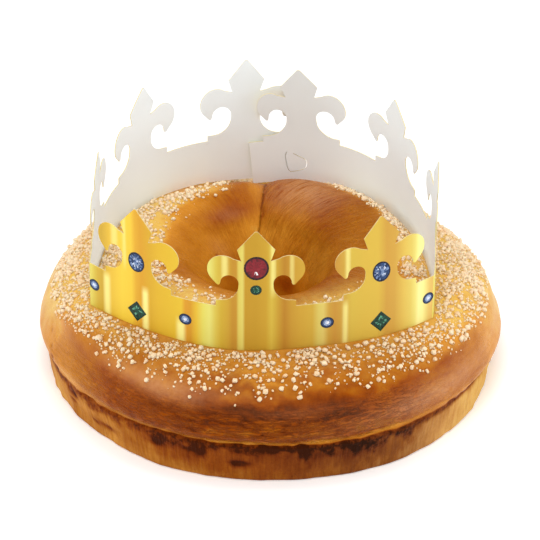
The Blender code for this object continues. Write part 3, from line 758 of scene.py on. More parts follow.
def closed_grid_faces(around, along):
    """Quads of a grid that closes both ways, wound so that they face outwards."""
    index = np.arange(around * along).reshape(around, along)
    ahead = np.roll(index, -1, axis=0)
    quads = np.stack([index, np.roll(index, -1, axis=1), np.roll(ahead, -1, axis=1), ahead], axis=-1)
    return quads.reshape(-1, 4)


def ring_middle():
    """Where the middle of the ring stands in the frame: the frame's box against the same ring made here."""
    low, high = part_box("brioche")
    points, _, _ = smooth_ring(tucks=())
    low_here, high_here = points.reshape(-1, 3).min(axis=0), points.reshape(-1, 3).max(axis=0)
    shift = (np.array(low) + np.array(high) - low_here - high_here) / 2
    return np.array([shift[0], shift[1], 0.0])


def mesh_from_arrays(name, points, faces):
    """A mesh from arrays of points and of faces that all have the same number of corners."""
    mesh = bpy.data.meshes.new(name)
    count, corners = faces.shape
    mesh.vertices.add(len(points))
    mesh.vertices.foreach_set("co", np.asarray(points, np.float32).ravel())
    mesh.loops.add(count * corners)
    mesh.loops.foreach_set("vertex_index", faces.astype(np.int32).ravel())
    mesh.polygons.add(count)
    mesh.polygons.foreach_set("loop_start", np.arange(0, count * corners, corners, dtype=np.int32))
    mesh.update(calc_edges=True)
    mesh.validate()
    mesh.shade_smooth()
    return mesh


def add_mask(mesh, name, values, kind="FLOAT", domain="POINT"):
    """Stores an array of numbers or vectors on the mesh for its material to read."""
    attribute = mesh.attributes.new(name, kind, domain)
    field = "vector" if kind == "FLOAT_VECTOR" else "value"
    attribute.data.foreach_set(field, np.asarray(values, np.float32).ravel())


def place_piece(name, mesh, materials):
    """Links a finished mesh as a piece that rides on the cake."""
    for material in materials:
        mesh.materials.append(material)
    piece = bpy.data.objects.new(name, mesh)
    bpy.context.scene.collection.objects.link(piece)
    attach(piece, "root")
    return piece


# ---- shader nodes -----------------------------------------------------------------------------
def node(tree, kind, inputs=(), **settings):
    """Adds a node. Inputs maps a socket's name or number to a value or to another node's output."""
    made = tree.nodes.new(kind)
    for name, value in settings.items():
        setattr(made, name, value)
    for key, value in dict(inputs).items():
        if isinstance(value, bpy.types.NodeSocket):
            tree.links.new(value, made.inputs[key])
        else:
            made.inputs[key].default_value = value
    return made


def maths(tree, operation, first, second=0.0, third=0.0, clamp=False):
    inputs = {0: first, 1: second, 2: third}
    return node(tree, "ShaderNodeMath", inputs, operation=operation, use_clamp=clamp).outputs[0]


def times(tree, first, second):
    return maths(tree, "MULTIPLY", first, second)


def scaled(tree, value, factor, offset=0.0, clamp=False):
    """Value times factor plus offset; each is a number or another node's output."""
    return maths(tree, "MULTIPLY_ADD", value, factor, offset, clamp)


def added(tree, start, parts):
    """Start plus each part times its share."""
    for part, weight in parts:
        start = scaled(tree, part, weight, start)
    return start


def ramped(tree, value, start, reach):
    """0 at start and 1 from one reach further on; a negative reach runs downwards."""
    return maths(tree, "DIVIDE", maths(tree, "SUBTRACT", value, start), reach, clamp=True)


def mask(tree, name):
    return node(tree, "ShaderNodeAttribute", attribute_name=name).outputs["Fac"]


def noise(tree, place, scale, detail=3.0, roughness=0.55, stretch=None):
    """Noise centred on 0. Stretch scales the place along each axis first."""
    if stretch is not None:
        place = node(tree, "ShaderNodeMapping", {"Vector": place, "Scale": stretch}).outputs[0]
    made = node(tree, "ShaderNodeTexNoise",
                {"Vector": place, "Scale": scale, "Detail": detail, "Roughness": roughness})
    return maths(tree, "SUBTRACT", made.outputs["Fac"], 0.5)


def ramp(tree, factor, stops):
    """A colour ramp with the given (place, colour) stops."""
    made = node(tree, "ShaderNodeValToRGB", {0: factor})
    elements = made.color_ramp.elements
    elements[0].position, elements[0].color = stops[0]
    elements[1].position, elements[1].color = stops[-1]
    for place, shade in stops[1:-1]:
        elements.new(place).color = shade
    return made.outputs["Color"]


def blend(tree, factor, first, second, blend_type="MIX"):
    inputs = {0: factor, 6: first, 7: second}
    return node(tree, "ShaderNodeMix", inputs, data_type="RGBA", blend_type=blend_type).outputs[2]


def bump(tree, height, distance, strength=1.0, normal=None):
    inputs = {"Height": height, "Distance": distance, "Strength": strength}
    if normal is not None:
        inputs["Normal"] = normal
    return node(tree, "ShaderNodeBump", inputs).outputs[0]


def new_material(name):
    material = bpy.data.materials.new(name)
    material.use_nodes = True
    tree = material.node_tree
    return material, tree, tree.nodes["Principled BSDF"]


def fibre_group():
    """Paper fibre, shared by the bare board, the gold and the jewels: a tone round 0 and a height."""
    found = bpy.data.node_groups.get("card_fibre")
    if found:
        return found
    group = bpy.data.node_groups.new("card_fibre", "ShaderNodeTree")
    for name in ("Tone", "Height"):
        group.interface.new_socket(name, in_out="OUTPUT", socket_type="NodeSocketFloat")
    place = node(group, "ShaderNodeTexCoord").outputs["Object"]
    cloud = noise(group, place, 38.0, 3.0)
    fibre = noise(group, place, 900.0, 4.0, 0.7, (1.0, 1.0, 2.2))
    tone = scaled(group, cloud, 0.7, times(group, fibre, 0.35))
    node(group, "NodeGroupOutput", {"Tone": tone, "Height": fibre})
    return group


def card_fibre(tree):
    made = node(tree, "ShaderNodeGroup", node_tree=fibre_group())
    return made.outputs["Tone"], made.outputs["Height"]


# ---- materials --------------------------------------------------------------------------------
def crust_material(crust):
    """Egg-washed crust: browning from the mesh with finer mottling, freckles and streaks on top of it."""
    material, tree, shader = new_material("egg_washed_crust")
    place = node(tree, "ShaderNodeTexCoord").outputs["Object"]
    belt = node(tree, "ShaderNodeAttribute", attribute_name="belt").outputs["Vector"]
    ripples = mask(tree, "ripples")

    mottle = noise(tree, place, 90.0, 4.0, 0.6)
    freckle = noise(tree, place, 620.0, 3.0, 0.6)
    upright = times(tree, noise(tree, belt, 640.0, 3.0, 0.6, (1.0, 1.0, 0.10)), mask(tree, "wall"))
    level = times(tree, noise(tree, belt, 260.0, 4.0, 0.62, (0.19, 0.19, 1.0)), ripples)
    wrinkle = maths(tree, "ABSOLUTE", noise(tree, belt, 620.0, 4.0, 0.62, (0.26, 0.26, 1.0)))
    wrinkle = times(tree, scaled(tree, wrinkle, -7.0, 0.55, clamp=True), ripples)
    streak = times(tree, noise(tree, belt, 640.0, 4.0, 0.62, (1.0, 1.0, 0.15)), mask(tree, "pulled"))

    brown = added(tree, mask(tree, "browning"), (
        (mottle, 0.26), (freckle, 0.15), (upright, 0.34), (level, 0.46), (wrinkle, 0.12), (streak, 0.38)))
    char = scaled(tree, noise(tree, place, 360.0, 4.0, 0.7), 0.8, 0.26)
    brown = scaled(tree, mask(tree, "charred"), char, brown, clamp=True)
    glazed = ramp(tree, brown, ((0.0, crust.straw), (0.24, crust.honey), (0.46, crust.golden),
                                (0.66, crust.russet), (0.84, crust.chestnut), (1.0, crust.umber)))
    dry = ramp(tree, brown, ((0.0, crust.dusty), (0.55, crust.toasted), (0.82, crust.charred),
                             (1.0, crust.burnt)))
    crust_colour = blend(tree, mask(tree, "dry"), glazed, dry)
    # painted highlights: the sheen, broken up by noise and by the pulled streaks, pales the colour
    glare = scaled(tree, noise(tree, place, 300.0, 4.0, 0.65), 1.4, 0.85)
    glare = scaled(tree, streak, -4.0, glare, clamp=True)
    crust_colour = blend(tree, times(tree, mask(tree, "sheen"), glare), crust_colour, crust.sheen)
    cloud = scaled(tree, noise(tree, place, 260.0, 4.0, 0.65), 1.2, 0.36, clamp=True)
    melted = times(tree, mask(tree, "sugar_dust"), cloud)
    tree.links.new(blend(tree, melted, crust_colour, crust.melted), shader.inputs["Base Color"])

    wash = mask(tree, "egg_wash")
    rough = scaled(tree, maths(tree, "SUBTRACT", 1.0, wash), 0.28, crust.gloss)
    rough = scaled(tree, mottle, 0.22, rough)
    rough = scaled(tree, melted, 0.25, rough, clamp=True)
    tree.links.new(rough, shader.inputs["Roughness"])
    shader.inputs["Specular Tint"].default_value = crust.gleam
    tree.links.new(scaled(tree, wash, 0.10, 0.04), shader.inputs["Specular IOR Level"])

    skin = bump(tree, noise(tree, place, 1100.0, 3.0, 0.6), 0.00018)
    grain = added(tree, maths(tree, "ADD", upright, level), ((wrinkle, -0.7), (streak, 0.80)))
    tree.links.new(bump(tree, grain, 0.0014, 1.0, skin), shader.inputs["Normal"])
    return material


def sugar_material(sugar):
    """Opaque sugar, a little toasted where a nib's own tone says so, with a crumbly surface."""
    found = bpy.data.materials.get("pearl_sugar")
    if found:
        return found
    material, tree, shader = new_material("pearl_sugar")
    place = node(tree, "ShaderNodeTexCoord").outputs["Object"]
    crumb = noise(tree, place, 1500.0, 3.0, 0.7)
    toast = scaled(tree, crumb, 0.5, mask(tree, "toast"), clamp=True)
    tree.links.new(blend(tree, toast, sugar.cream, sugar.toasted), shader.inputs["Base Color"])
    tree.links.new(scaled(tree, crumb, 0.3, 0.52), shader.inputs["Roughness"])
    tree.links.new(bump(tree, crumb, 0.0003), shader.inputs["Normal"])
    shader.inputs["Subsurface Weight"].default_value = 0.3
    shader.inputs["Subsurface Radius"].default_value = (1.0, 0.75, 0.5)
    shader.inputs["Subsurface Scale"].default_value = 0.8 * MM
    return material


def bell_stops(bells, low, high):
    """Ramp stops that rise to each bell's strength at its place and fall to black half a width away."""
    stops = [(0.0, (0.0, 0.0, 0.0, 1.0))]
    for place, half, value in bells:
        for offset, shade in ((-half, 0.0), (-0.35 * half, value), (0.35 * half, value), (half, 0.0)):
            stops.append(((place + offset - low) / (high - low), (shade, shade, shade, 1.0)))
    stops.append((1.0, (0.0, 0.0, 0.0, 1.0)))
    return stops


def bar_stops(bars):
    low, high = bars[0][0], bars[-1][0]
    return [((place - low) / (high - low), colour(code)) for place, code in bars]


def gold_material(crown):
    """Gold print in upright bars: two ramps along the strip, and pale glints on the band and the petals.

    The bars repeat every PRINT_PERIOD, counted from the fleur in front, to the left and to the right.
    Glints are bells along the strip that fade with height: full below 23.5 mm, below 10 mm or above 41 mm.
    """
    material, tree, shader = new_material("printed_gold")
    strip = node(tree, "ShaderNodeUVMap", uv_map="strip").outputs[0]
    split = node(tree, "ShaderNodeSeparateXYZ", {0: strip})
    low, high = PRINT_PERIOD
    along, height = (times(tree, split.outputs[axis], 1.0 / MM) for axis in (0, 1))
    along = maths(tree, "WRAP", along, high, low)
    left = maths(tree, "DIVIDE", maths(tree, "SUBTRACT", along, low), -low)
    right = maths(tree, "DIVIDE", along, high)
    bars = blend(tree, maths(tree, "GREATER_THAN", along, 0.0),
                 ramp(tree, left, bar_stops(BARS_LEFT)), ramp(tree, right, bar_stops(BARS_RIGHT)))
    turn = maths(tree, "DIVIDE", maths(tree, "SUBTRACT", along, low), high - low)
    band, low_band, petals = (
        times(tree, ramp(tree, turn, bell_stops(bells, low, high)), ramped(tree, height, start, reach))
        for bells, start, reach in (
            (GLINTS, 28.5, -5.0), (LOW_GLINTS, 16.0, -6.0), (UPPER_GLINTS, 33.0, 8.0)))
    band = maths(tree, "MAXIMUM", band, low_band)
    pale = maths(tree, "MAXIMUM", times(tree, band, 0.9), times(tree, petals, 0.75))
    inked = blend(tree, pale, bars, crown.glint)
    inked = blend(tree, 1.0, inked, crown.ink, "MULTIPLY")
    tone, fibre = card_fibre(tree)
    shade = scaled(tree, tone, 0.07, 1.0)
    shade = node(tree, "ShaderNodeCombineXYZ", {0: shade, 1: shade, 2: shade}).outputs[0]
    tree.links.new(blend(tree, 1.0, inked, shade, "MULTIPLY"), shader.inputs["Base Color"])
    tree.links.new(scaled(tree, tone, 0.12, crown.gold_gloss), shader.inputs["Roughness"])
    tree.links.new(bump(tree, fibre, 0.00003), shader.inputs["Normal"])
    shader.inputs["Specular IOR Level"].default_value = 0.30
    shader.inputs["Specular Tint"].default_value = crown.varnish
    return material


def board_material(crown):
    """Bare grey-white board with faint fibre and clouding."""
    material, tree, shader = new_material("bare_board")
    tone, fibre = card_fibre(tree)
    darker = tuple(0.95 * part for part in crown.board[:3]) + (1.0,)
    mixed = scaled(tree, tone, 0.9, 0.25, clamp=True)
    tree.links.new(blend(tree, mixed, crown.board, darker), shader.inputs["Base Color"])
    tree.links.new(scaled(tree, tone, 0.2, 0.72), shader.inputs["Roughness"])
    tree.links.new(bump(tree, fibre, 0.00006), shader.inputs["Normal"])
    return material


def edge_material(crown):
    """The cut edge of the card: board that took some of the ink's colour."""
    material, tree, shader = new_material("cut_edge")
    tone, _ = card_fibre(tree)
    shader.inputs["Base Color"].default_value = crown.edge
    tree.links.new(scaled(tree, tone, 0.2, 0.72), shader.inputs["Roughness"])
    return material


def jewel_material(name, dark, middle, light, gloss):
    """A printed jewel: each facet's own tone runs from the dark rim through the stone's colour to white."""
    material, tree, shader = new_material(name)
    tone, fibre = card_fibre(tree)
    facet = scaled(tree, tone, 0.08, mask(tree, "facet"), clamp=True)
    stone = ramp(tree, facet, ((0.0, dark), (0.45, middle), (0.8, light), (1.0, colour(JEWEL_WHITE))))
    tree.links.new(stone, shader.inputs["Base Color"])
    tree.links.new(bump(tree, fibre, 0.00002), shader.inputs["Normal"])
    shader.inputs["Roughness"].default_value = gloss
    shader.inputs["Specular IOR Level"].default_value = 0.25
    return material


# ---- sugar ------------------------------------------------------------------------------------
def pebble():
    """A rounded block: the 26 points on the skin of a 2 by 2 by 2 block, pushed to |x|^4+|y|^4+|z|^4 = 1."""
    steps = (-1.0, 0.0, 1.0)
    grid = np.array([(x, y, z) for x in steps for y in steps for z in steps if (x, y, z) != (0.0, 0.0, 0.0)])
    number = {tuple(point): index for index, point in enumerate(grid)}
    faces = []
    for axis in range(3):
        for side in (-1.0, 1.0):
            for u, v in ((-1.0, -1.0), (0.0, -1.0), (0.0, 0.0), (-1.0, 0.0)):
                corners = [(u, v), (u + 1, v), (u + 1, v + 1), (u, v + 1)]
                ring = [number[tuple(np.roll((side, a, b), axis))] for a, b in corners[::int(side)]]
                faces.append(ring)
    points = grid / (np.abs(grid) ** 4).sum(axis=1, keepdims=True) ** (1.0 / 4.0)
    return points, np.array(faces)


def shard():
    """An eight-sided grain: two square pyramids base to base."""
    points = np.array([(1, 0, 0), (0, 1, 0), (-1, 0, 0), (0, -1, 0), (0, 0, 1), (0, 0, -1)], float)
    upper = [(i, (i + 1) % 4, 4) for i in range(4)]
    lower = [((i + 1) % 4, i, 5) for i in range(4)]
    return points, np.array(upper + lower)


def chip():
    """A piece of a broken nib: an icosahedron, with 12 points and 20 faces."""
    golden = (1.0 + 5.0 ** 0.5) / 2.0
    points = [(0.0, a, b * golden) for a in (-1, 1) for b in (-1, 1)]
    points += [(a, b * golden, 0.0) for a in (-1, 1) for b in (-1, 1)]
    points += [(b * golden, 0.0, a) for a in (-1, 1) for b in (-1, 1)]
    points = np.array(points)
    gaps = np.linalg.norm(points[:, None] - points[None], axis=-1)
    near = (gaps > 0.1) & (gaps < 2.1)
    faces = []
    for a in range(12):
        for b in range(a + 1, 12):
            for c in range(b + 1, 12):
                if near[a, b] and near[b, c] and near[a, c]:
                    turn = np.dot(np.cross(points[b] - points[a], points[c] - points[a]), points[a])
                    faces.append((a, b, c) if turn > 0 else (a, c, b))
    return points / np.linalg.norm(points[0]), np.array(faces)


def scatter(surface, angle, rows, density, clump_size, bareness, rng):
    """Places on the crust: each quad gets one with a chance of its area times the density.

    The density follows sugar_cover, thickened and thinned by noise of clump_size, and is less by the
    bareness outside the crown in front.
    """
    ahead, below = np.roll(surface, -1, axis=0), np.roll(surface, -1, axis=1)
    across = np.roll(ahead, -1, axis=1)
    one, two = ahead - surface, below - surface
    cross = np.cross(two, one)
    area = np.linalg.norm(cross, axis=-1)
    cover = sugar_cover(np.degrees(angle)[:, None], rows[None, :])
    clumps = lattice_noise(surface, clump_size, 31) + 0.6 * lattice_noise(surface, clump_size * 0.45, 32)
    facing = hump(np.degrees(angle)[:, None], 0.0, 55.0) * rise(rows[None, :], 8.1, 8.6)
    cover = cover * (1.0 - bareness * facing)
    wanted = density / MM ** 2 * area * cover * (0.30 + 1.15 * rise(clumps, -0.55, 0.65))
    wanted[:, rows > 11.0] = 0.0
    picked = np.argwhere(rng.random(wanted.shape) < wanted)
    picked = picked[rng.permutation(len(picked))]
    i, j = picked.T
    u, v = rng.random((2, len(picked), 1))
    place = ((1 - u) * (1 - v) * surface[i, j] + u * (1 - v) * ahead[i, j]
             + (1 - u) * v * below[i, j] + u * v * across[i, j])
    return place, cross[i, j] / area[i, j][:, None]


def keep_apart(places, sizes, closeness):
    """Drops each grain that lies closer to an earlier one than closeness times their mean size."""
    keep = np.ones(len(places), bool)
    squares = (places ** 2).sum(axis=1)
    for start in range(0, len(places), 1000):
        part = slice(start, start + 1000)
        gap = squares[part, None] + squares[None, :] - 2 * places[part] @ places.T
        room = closeness * 0.5 * (sizes[part, None] + sizes[None, :])
        earlier = np.arange(len(places))[None, :] < np.arange(len(places))[part, None]
        keep[part] = ~((gap < room ** 2) & earlier).any(axis=1)
    return keep


def frames_on(normals, tilt, rng):
    """Random frames that stand near the normals: twisted round them and tilted by about tilt radians."""
    upright = normals + tilt * rng.normal(size=normals.shape)
    upright /= np.linalg.norm(upright, axis=1, keepdims=True)
    side = np.cross(upright, rng.normal(size=normals.shape))
    side /= np.linalg.norm(side, axis=1, keepdims=True)
    return np.stack([side, np.cross(upright, side), upright], axis=-1)


def joined_grains(form, places, normals, sizes, flatness, roughness, sunk, tilt, rng):
    """One mesh of many grains: each form point is jittered, stretched, turned and carried to its place."""
    points, faces = form
    count = len(places)
    stretch = rng.uniform(0.72, 1.26, (count, 3)) * (1.0, 0.92, flatness)
    local = points[None] * stretch[:, None, :] * (0.5 * sizes[:, None, None])
    local = local * (1.0 + roughness * rng.uniform(-1.0, 1.0, (count, len(points), 1)))
    turned = np.einsum("nij,nkj->nki", frames_on(normals, tilt, rng), local)
    lifted = places + normals * (sizes * (0.5 * flatness - sunk))[:, None]
    all_points = (turned + lifted[:, None, :]).reshape(-1, 3)
    all_faces = (faces[None] + (np.arange(count) * len(points))[:, None, None]).reshape(-1, faces.shape[1])
    return all_points, all_faces


# ---- the card ---------------------------------------------------------------------------------
def arc(centre, radius, start, end, steps):
    """Points on an arc, millimetres and degrees, both ends included."""
    turn = np.radians(np.linspace(start, end, steps + 1))
    return [(centre[0] + radius * np.cos(t), centre[1] + radius * np.sin(t)) for t in turn]


def half_fleur(slimmer):
    """The right half of a fleur-de-lis from the band's edge to its tip, in millimetres.

    Slimmer is how much is cut off the stem's side, the hollow beside it being so much wider.
    """
    hollow = arc((19.4 - 0.5 * slimmer, 41.5), 9.9 + 0.5 * slimmer, 270.0, 180.0, 12)
    under_curl = arc((14.4 - 0.5 * slimmer, 43.0), 5.0 + 0.5 * slimmer, 180.0, 0.0, 14)
    curl_tip = arc((20.7, 42.6), 1.25, 225.0, 300.0, 3)
    side_petal = arc((17.6, 51.0), 9.15, -48.0, 125.0, 20)
    middle_petal = [(7.9, 57.2), (10.3, 64.4), (0.7, 76.2)]
    step = [(21.9, BAND_HEIGHT / MM), (21.9, 31.1)]
    return step + hollow + under_curl + curl_tip + side_petal + middle_petal


def strip_outline():
    """The flat card: a straight foot, and the fleurs along the top edge, from right to left."""
    right_end = STRIP_END - RIGHT_TAB_TRIM
    outline = [(-STRIP_END, 0.0), (right_end, 0.0), (right_end, BAND_HEIGHT)]
    for number in reversed(range(FLEUR_COUNT)):
        centre = (number - FLEUR_COUNT // 2) * FLEUR_PITCH
        slimmer = END_STEMS_SLIMMER if number in (0, FLEUR_COUNT - 1) else 0.0
        right = np.array(half_fleur(slimmer)) * MM
        left = right[::-1] * (-1.0, 1.0)
        curl = np.clip(right[:, 0] - 12.0 * MM, 0.0, None) * rise(right[:, 1], 36.0 * MM, 41.5 * MM)
        if number == FLEUR_COUNT - 1:
            right[:, 0] -= LAST_CURL_SHORTER * curl
        elif number == 0:
            left[:, 0] -= FIRST_CURL_LONGER * curl[::-1]
        outline += [(centre + x, y) for x, y in np.vstack([right, left])]
    outline.append((-STRIP_END, BAND_HEIGHT))
    return outline


def lock_cut():
    """The narrow heart-shaped cut of the lock: a smooth line through LOCK_CUT, widened along its normals."""
    knots = np.array(LOCK_CUT)[None] * MM
    line = along_knots(knots, np.linspace(0.0, len(LOCK_CUT) - 1, 41))[0]
    step = np.gradient(line, axis=0)
    sideways = np.stack([-step[:, 1], step[:, 0]], axis=1) / np.linalg.norm(step, axis=1, keepdims=True)
    middle = line + np.array([(FLEUR_COUNT // 2) * FLEUR_PITCH, 0.0])
    half = 0.5 * LOCK_CUT_WIDTH * sideways
    return np.vstack([middle + half, (middle - half)[::-1]])


def flat_card(thickness):
    """The die-cut strip as a filled outline with its lock cut, as thick as the card."""
    curve = bpy.data.curves.new("card_outline", "CURVE")
    curve.dimensions = "2D"
    curve.fill_mode = "BOTH"
    curve.extrude = thickness / 2
    for outline in (strip_outline(), lock_cut()):
        spline = curve.splines.new("POLY")
        spline.points.add(len(outline) - 1)
        flat = np.zeros((len(outline), 4))
        flat[:, :2] = outline
        flat[:, 3] = 1.0
        spline.points.foreach_set("co", flat.ravel())
        spline.use_cyclic_u = True
    shape = bpy.data.objects.new("card_outline", curve)
    bpy.context.scene.collection.objects.link(shape)
    bpy.context.view_layer.update()
    mesh = bpy.data.meshes.new_from_object(shape.evaluated_get(bpy.context.evaluated_depsgraph_get()))
    bpy.data.objects.remove(shape, do_unlink=True)
    mesh.materials.clear()
    return mesh


def run_along_loop():
    """Directions round the loop, and how far along the strip each one lies."""
    fine = np.radians(np.linspace(-230.0, 230.0, 4601))
    x, y = loop_point(fine, 0.0)
    run = np.concatenate([[0.0], np.cumsum(np.hypot(np.diff(x), np.diff(y)))])
    return fine, run - np.interp(np.radians(FRONT_FLEUR_TURN), fine, run)


def cut_for_bending(mesh):
    """Cuts the flat card at even steps and at the folds, and gives top, back and edge their materials."""
    card = bmesh.new()
    card.from_mesh(mesh)
    bmesh.ops.remove_doubles(card, verts=card.verts, dist=0.01 * MM)
    bmesh.ops.dissolve_limit(card, angle_limit=np.radians(0.5), verts=card.verts, edges=card.edges)
    fine, run = run_along_loop()
    folds = [float(np.interp(np.radians(fold[0]), fine, run)) for fold in FOLDS]
    across = [place for place in np.arange(-STRIP_END + CARD_CUT, STRIP_END - CARD_CUT / 2, CARD_CUT)
              if min(abs(place - fold) for fold in folds) > 0.4 * CARD_CUT]
    across += [fold + offset for fold in folds for offset in (-0.5 * FOLD_WIDTH, 0.5 * FOLD_WIDTH)]
    cuts = [((0.0, place, 0.0), (0.0, 1.0, 0.0)) for place in np.arange(CARD_RISE, LEAN_TO, CARD_RISE)]
    cuts += [((place, 0.0, 0.0), (1.0, 0.0, 0.0)) for place in across]
    for place, normal in cuts:
        everything = list(card.verts) + list(card.edges) + list(card.faces)
        bmesh.ops.bisect_plane(card, geom=everything, dist=0.05 * MM, plane_co=place, plane_no=normal)
    bmesh.ops.recalc_face_normals(card, faces=card.faces)
    bmesh.ops.triangulate(card, faces=card.faces)
    for face in card.faces:
        face.material_index = 0 if face.normal.z > 0.5 else 1 if face.normal.z < -0.5 else 2
    card.to_mesh(mesh)
    card.free()


def end_slip(along):
    """How far the right end is turned in its own plane (radians) and how far it has sunk."""
    share = np.clip((along - STRIP_END + END_DROOP_LENGTH) / END_DROOP_LENGTH, 0.0, 1.0)
    turn = np.radians(END_DROOP) * share ** 2
    return turn, turn * share * END_DROOP_LENGTH / 3


def bend_card(points, waviness):
    """Carries flat points (along, up, through) onto the loop, its slope and its lap.

    Along becomes arc length of the loop; up is height over the sloping floor, with the fleurs leaning
    in as a power of their height; through is added along the loop's outward normal, with a slow wave.
    """
    turn, sink = end_slip(points[:, 0])
    centres = (np.arange(FLEUR_COUNT) - FLEUR_COUNT // 2) * FLEUR_PITCH
    share = np.clip((points[:, 1] - LEAN_FROM) / (LEAN_TO - LEAN_FROM), 0.0, None) ** 1.5
    lean = share * np.interp(points[:, 0], centres, np.array(FLEUR_LEANS) * MM)
    tilt = share * np.interp(points[:, 0], centres, np.array(FLEUR_TILTS) * MM)
    along = points[:, 0] + turn * points[:, 1] + tilt
    up = points[:, 1] - sink
    fine, run = run_along_loop()
    angle = np.interp(along, run, fine)
    ease = rise(np.abs(np.degrees(angle)), *LAP_EASING)
    layer = -0.5 * LAP_GAP * np.sign(angle) * ease
    before, middle, after = (np.stack(loop_point(angle + step, layer), axis=1)
                             for step in (-0.01, 0.0, 0.01))
    tangent = (after - before) / np.linalg.norm(after - before, axis=1)[:, None]
    outward = np.stack([tangent[:, 1], -tangent[:, 0]], axis=1)
    places = np.column_stack([points[:, 0], points[:, 1], np.zeros(len(points))])
    wave = waviness * lattice_noise(places + 1.0, CARD_WAVE, 41) * (1.0 - ease)
    wave = wave * rise(points[:, 1], 0.0, CARD_WAVE_FROM)
    plan = middle + outward * (points[:, 2] - lean + wave)[:, None]
    plan -= np.array(CROWN_SLOPE) * up[:, None]
    return np.column_stack([plan, crown_floor(middle[:, 0], middle[:, 1]) + up])


# ---- the jewels -------------------------------------------------------------------------------
def jewel_outline(turn, corners):
    """Radius of a jewel's edge against the turn: 1 for an oval, 1 / (|cos| + |sin|) for a lozenge."""
    if corners:
        return 1.0 / (np.abs(np.cos(turn)) + np.abs(np.sin(turn)))
    return np.ones_like(turn)


def jewel_plate(place, height, half_width, half_height, corners, thickness, rng, tones):
    """A thin closed plate of facets in flat card coordinates (along, up, through), and each facet's tone.

    Rings of points at JEWEL_RINGS of the outline, every other ring turned half a sector, make
    triangles that point in and out by turns; the last ring goes down into the card and closes behind.
    """
    shares = np.array(JEWEL_RINGS[1:] + (1.0,))
    sector = 2 * np.pi / JEWEL_SECTORS
    half_turn = np.array([0.5, 0.0, 0.5, 0.0, 0.0])[:len(shares)]
    turn = (np.arange(JEWEL_SECTORS)[None, :] + half_turn[:, None]) * sector
    radius = shares[:, None] * jewel_outline(turn, corners)
    front, back = 0.5 * thickness + PRINT_PROUD, 0.5 * thickness - 0.1 * MM
    depth = np.array([front] * (len(shares) - 1) + [back])[:, None] + 0.0 * turn
    rings = np.stack([place * MM + half_width * MM * radius * np.cos(turn),
                      height * MM + half_height * MM * radius * np.sin(turn), depth], axis=-1)
    poles = np.array([[place * MM, height * MM, front], [place * MM, height * MM, back]])
    points = np.vstack([rings.reshape(-1, 3), poles])
    index = np.arange(len(shares) * JEWEL_SECTORS).reshape(len(shares), JEWEL_SECTORS)
    ahead = np.roll(index, -1, axis=1)
    table = np.stack([index[0], ahead[0], np.full(JEWEL_SECTORS, index.size)], axis=-1)
    behind = np.stack([ahead[-1], index[-1], np.full(JEWEL_SECTORS, index.size + 1)], axis=-1)
    faces, facets = [table], [rng.choice(tones[0], JEWEL_SECTORS // 4).repeat(4)]
    for ring in range(len(shares) - 1):
        inner, inner_next, outer, outer_next = index[ring], ahead[ring], index[ring + 1], ahead[ring + 1]
        if half_turn[ring] > half_turn[ring + 1]:
            pair = (inner, outer_next, inner_next), (inner, outer, outer_next)
        else:
            pair = (inner, outer, inner_next), (inner_next, outer, outer_next)
        for triangle in pair:
            faces.append(np.stack(triangle, axis=-1))
            facets.append(rng.choice(tones[min(ring + 1, len(tones) - 1)], JEWEL_SECTORS))
    faces.append(behind)
    facets.append(np.zeros(JEWEL_SECTORS))
    return points, np.vstack(faces), np.concatenate(facets)


# Tones of the facets from the middle of a stone out to its rim: 0 is its dark, 1 is white.
RUBY_TONES = ((0.40, 0.46, 0.34), (0.28, 0.42, 0.46, 0.38), (0.16, 0.34, 0.44, 0.30), (0.0, 0.06))
SAPPHIRE_TONES = ((0.85, 0.40, 0.60), (0.22, 0.34, 0.55, 0.88), (0.12, 0.28, 0.42, 0.62), (0.0, 0.06))
SMALL_SAPPHIRE_TONES = ((0.88, 0.96), (0.55, 0.80, 0.66), (0.22, 0.34, 0.14), (0.0, 0.06))
EMERALD_TONES = ((0.30, 0.12, 0.45), (0.08, 0.22, 0.40, 0.72), (0.05, 0.20, 0.34), (0.03, 0.18, 0.30))
GLINT_FACETS = (40, 41, 66)     # facets of a ruby that shine white
JEWEL_WHITE = "f8fafc"
JEWEL_DARKS = {"red_jewels": "1d0a14", "green_jewels": "03150f", "blue_jewels": "080e24"}
JEWEL_LIGHTS = {"red_jewels": "c46a70", "green_jewels": "6fb898", "blue_jewels": "9db4dc"}


def jewel_places():
    """The jewels on the strip, by colour: place in millimetres, kind, whether it is a lozenge, and tones."""
    pitch, half = FLEUR_PITCH / MM, FLEUR_COUNT // 2
    even = [number * pitch for number in range(-half, half + 1) if number % 2 == 0]
    odd = [number * pitch for number in range(-half, half + 1) if number % 2]
    return {
        "red_jewels": [(place, RUBY, False, RUBY_TONES) for place in even],
        "green_jewels": ([(place, SMALL_EMERALD, False, EMERALD_TONES) for place in even]
                         + [(place, EMERALD, True, EMERALD_TONES) for place in odd]),
        "blue_jewels": ([(place, SAPPHIRE, False, SAPPHIRE_TONES) for place in odd]
                        + [(place, SMALL_SAPPHIRE, False, SMALL_SAPPHIRE_TONES)
                           for place in SMALL_SAPPHIRE_PLACES]),
    }


# ---- operators --------------------------------------------------------------------------------
class KINGCAKE_OT_crust(bpy.types.Operator):
    """Bakes the crust: the ring with its relief, browned by place"""

    bl_idname = "king_cake.crust"
    bl_label = "Brioche crust"
    bl_options = {"REGISTER", "UNDO"}

    def execute(self, context):
        crust = context.scene.king_cake_crust
        dough = Dough()
        surface = crust_surface(dough, crust) + ring_middle()
        faces = closed_grid_faces(len(dough.angle), len(dough.rows))
        mesh = mesh_from_arrays("brioche_crust", surface.reshape(-1, 3), faces)
        for name, values in crust_masks(dough).items():
            add_mask(mesh, name, values)
        add_mask(mesh, "belt", dough.slanted, "FLOAT_VECTOR")
        piece = place_piece("brioche_crust", mesh, [crust_material(crust)])
        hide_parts("brioche")
        return {"FINISHED"}


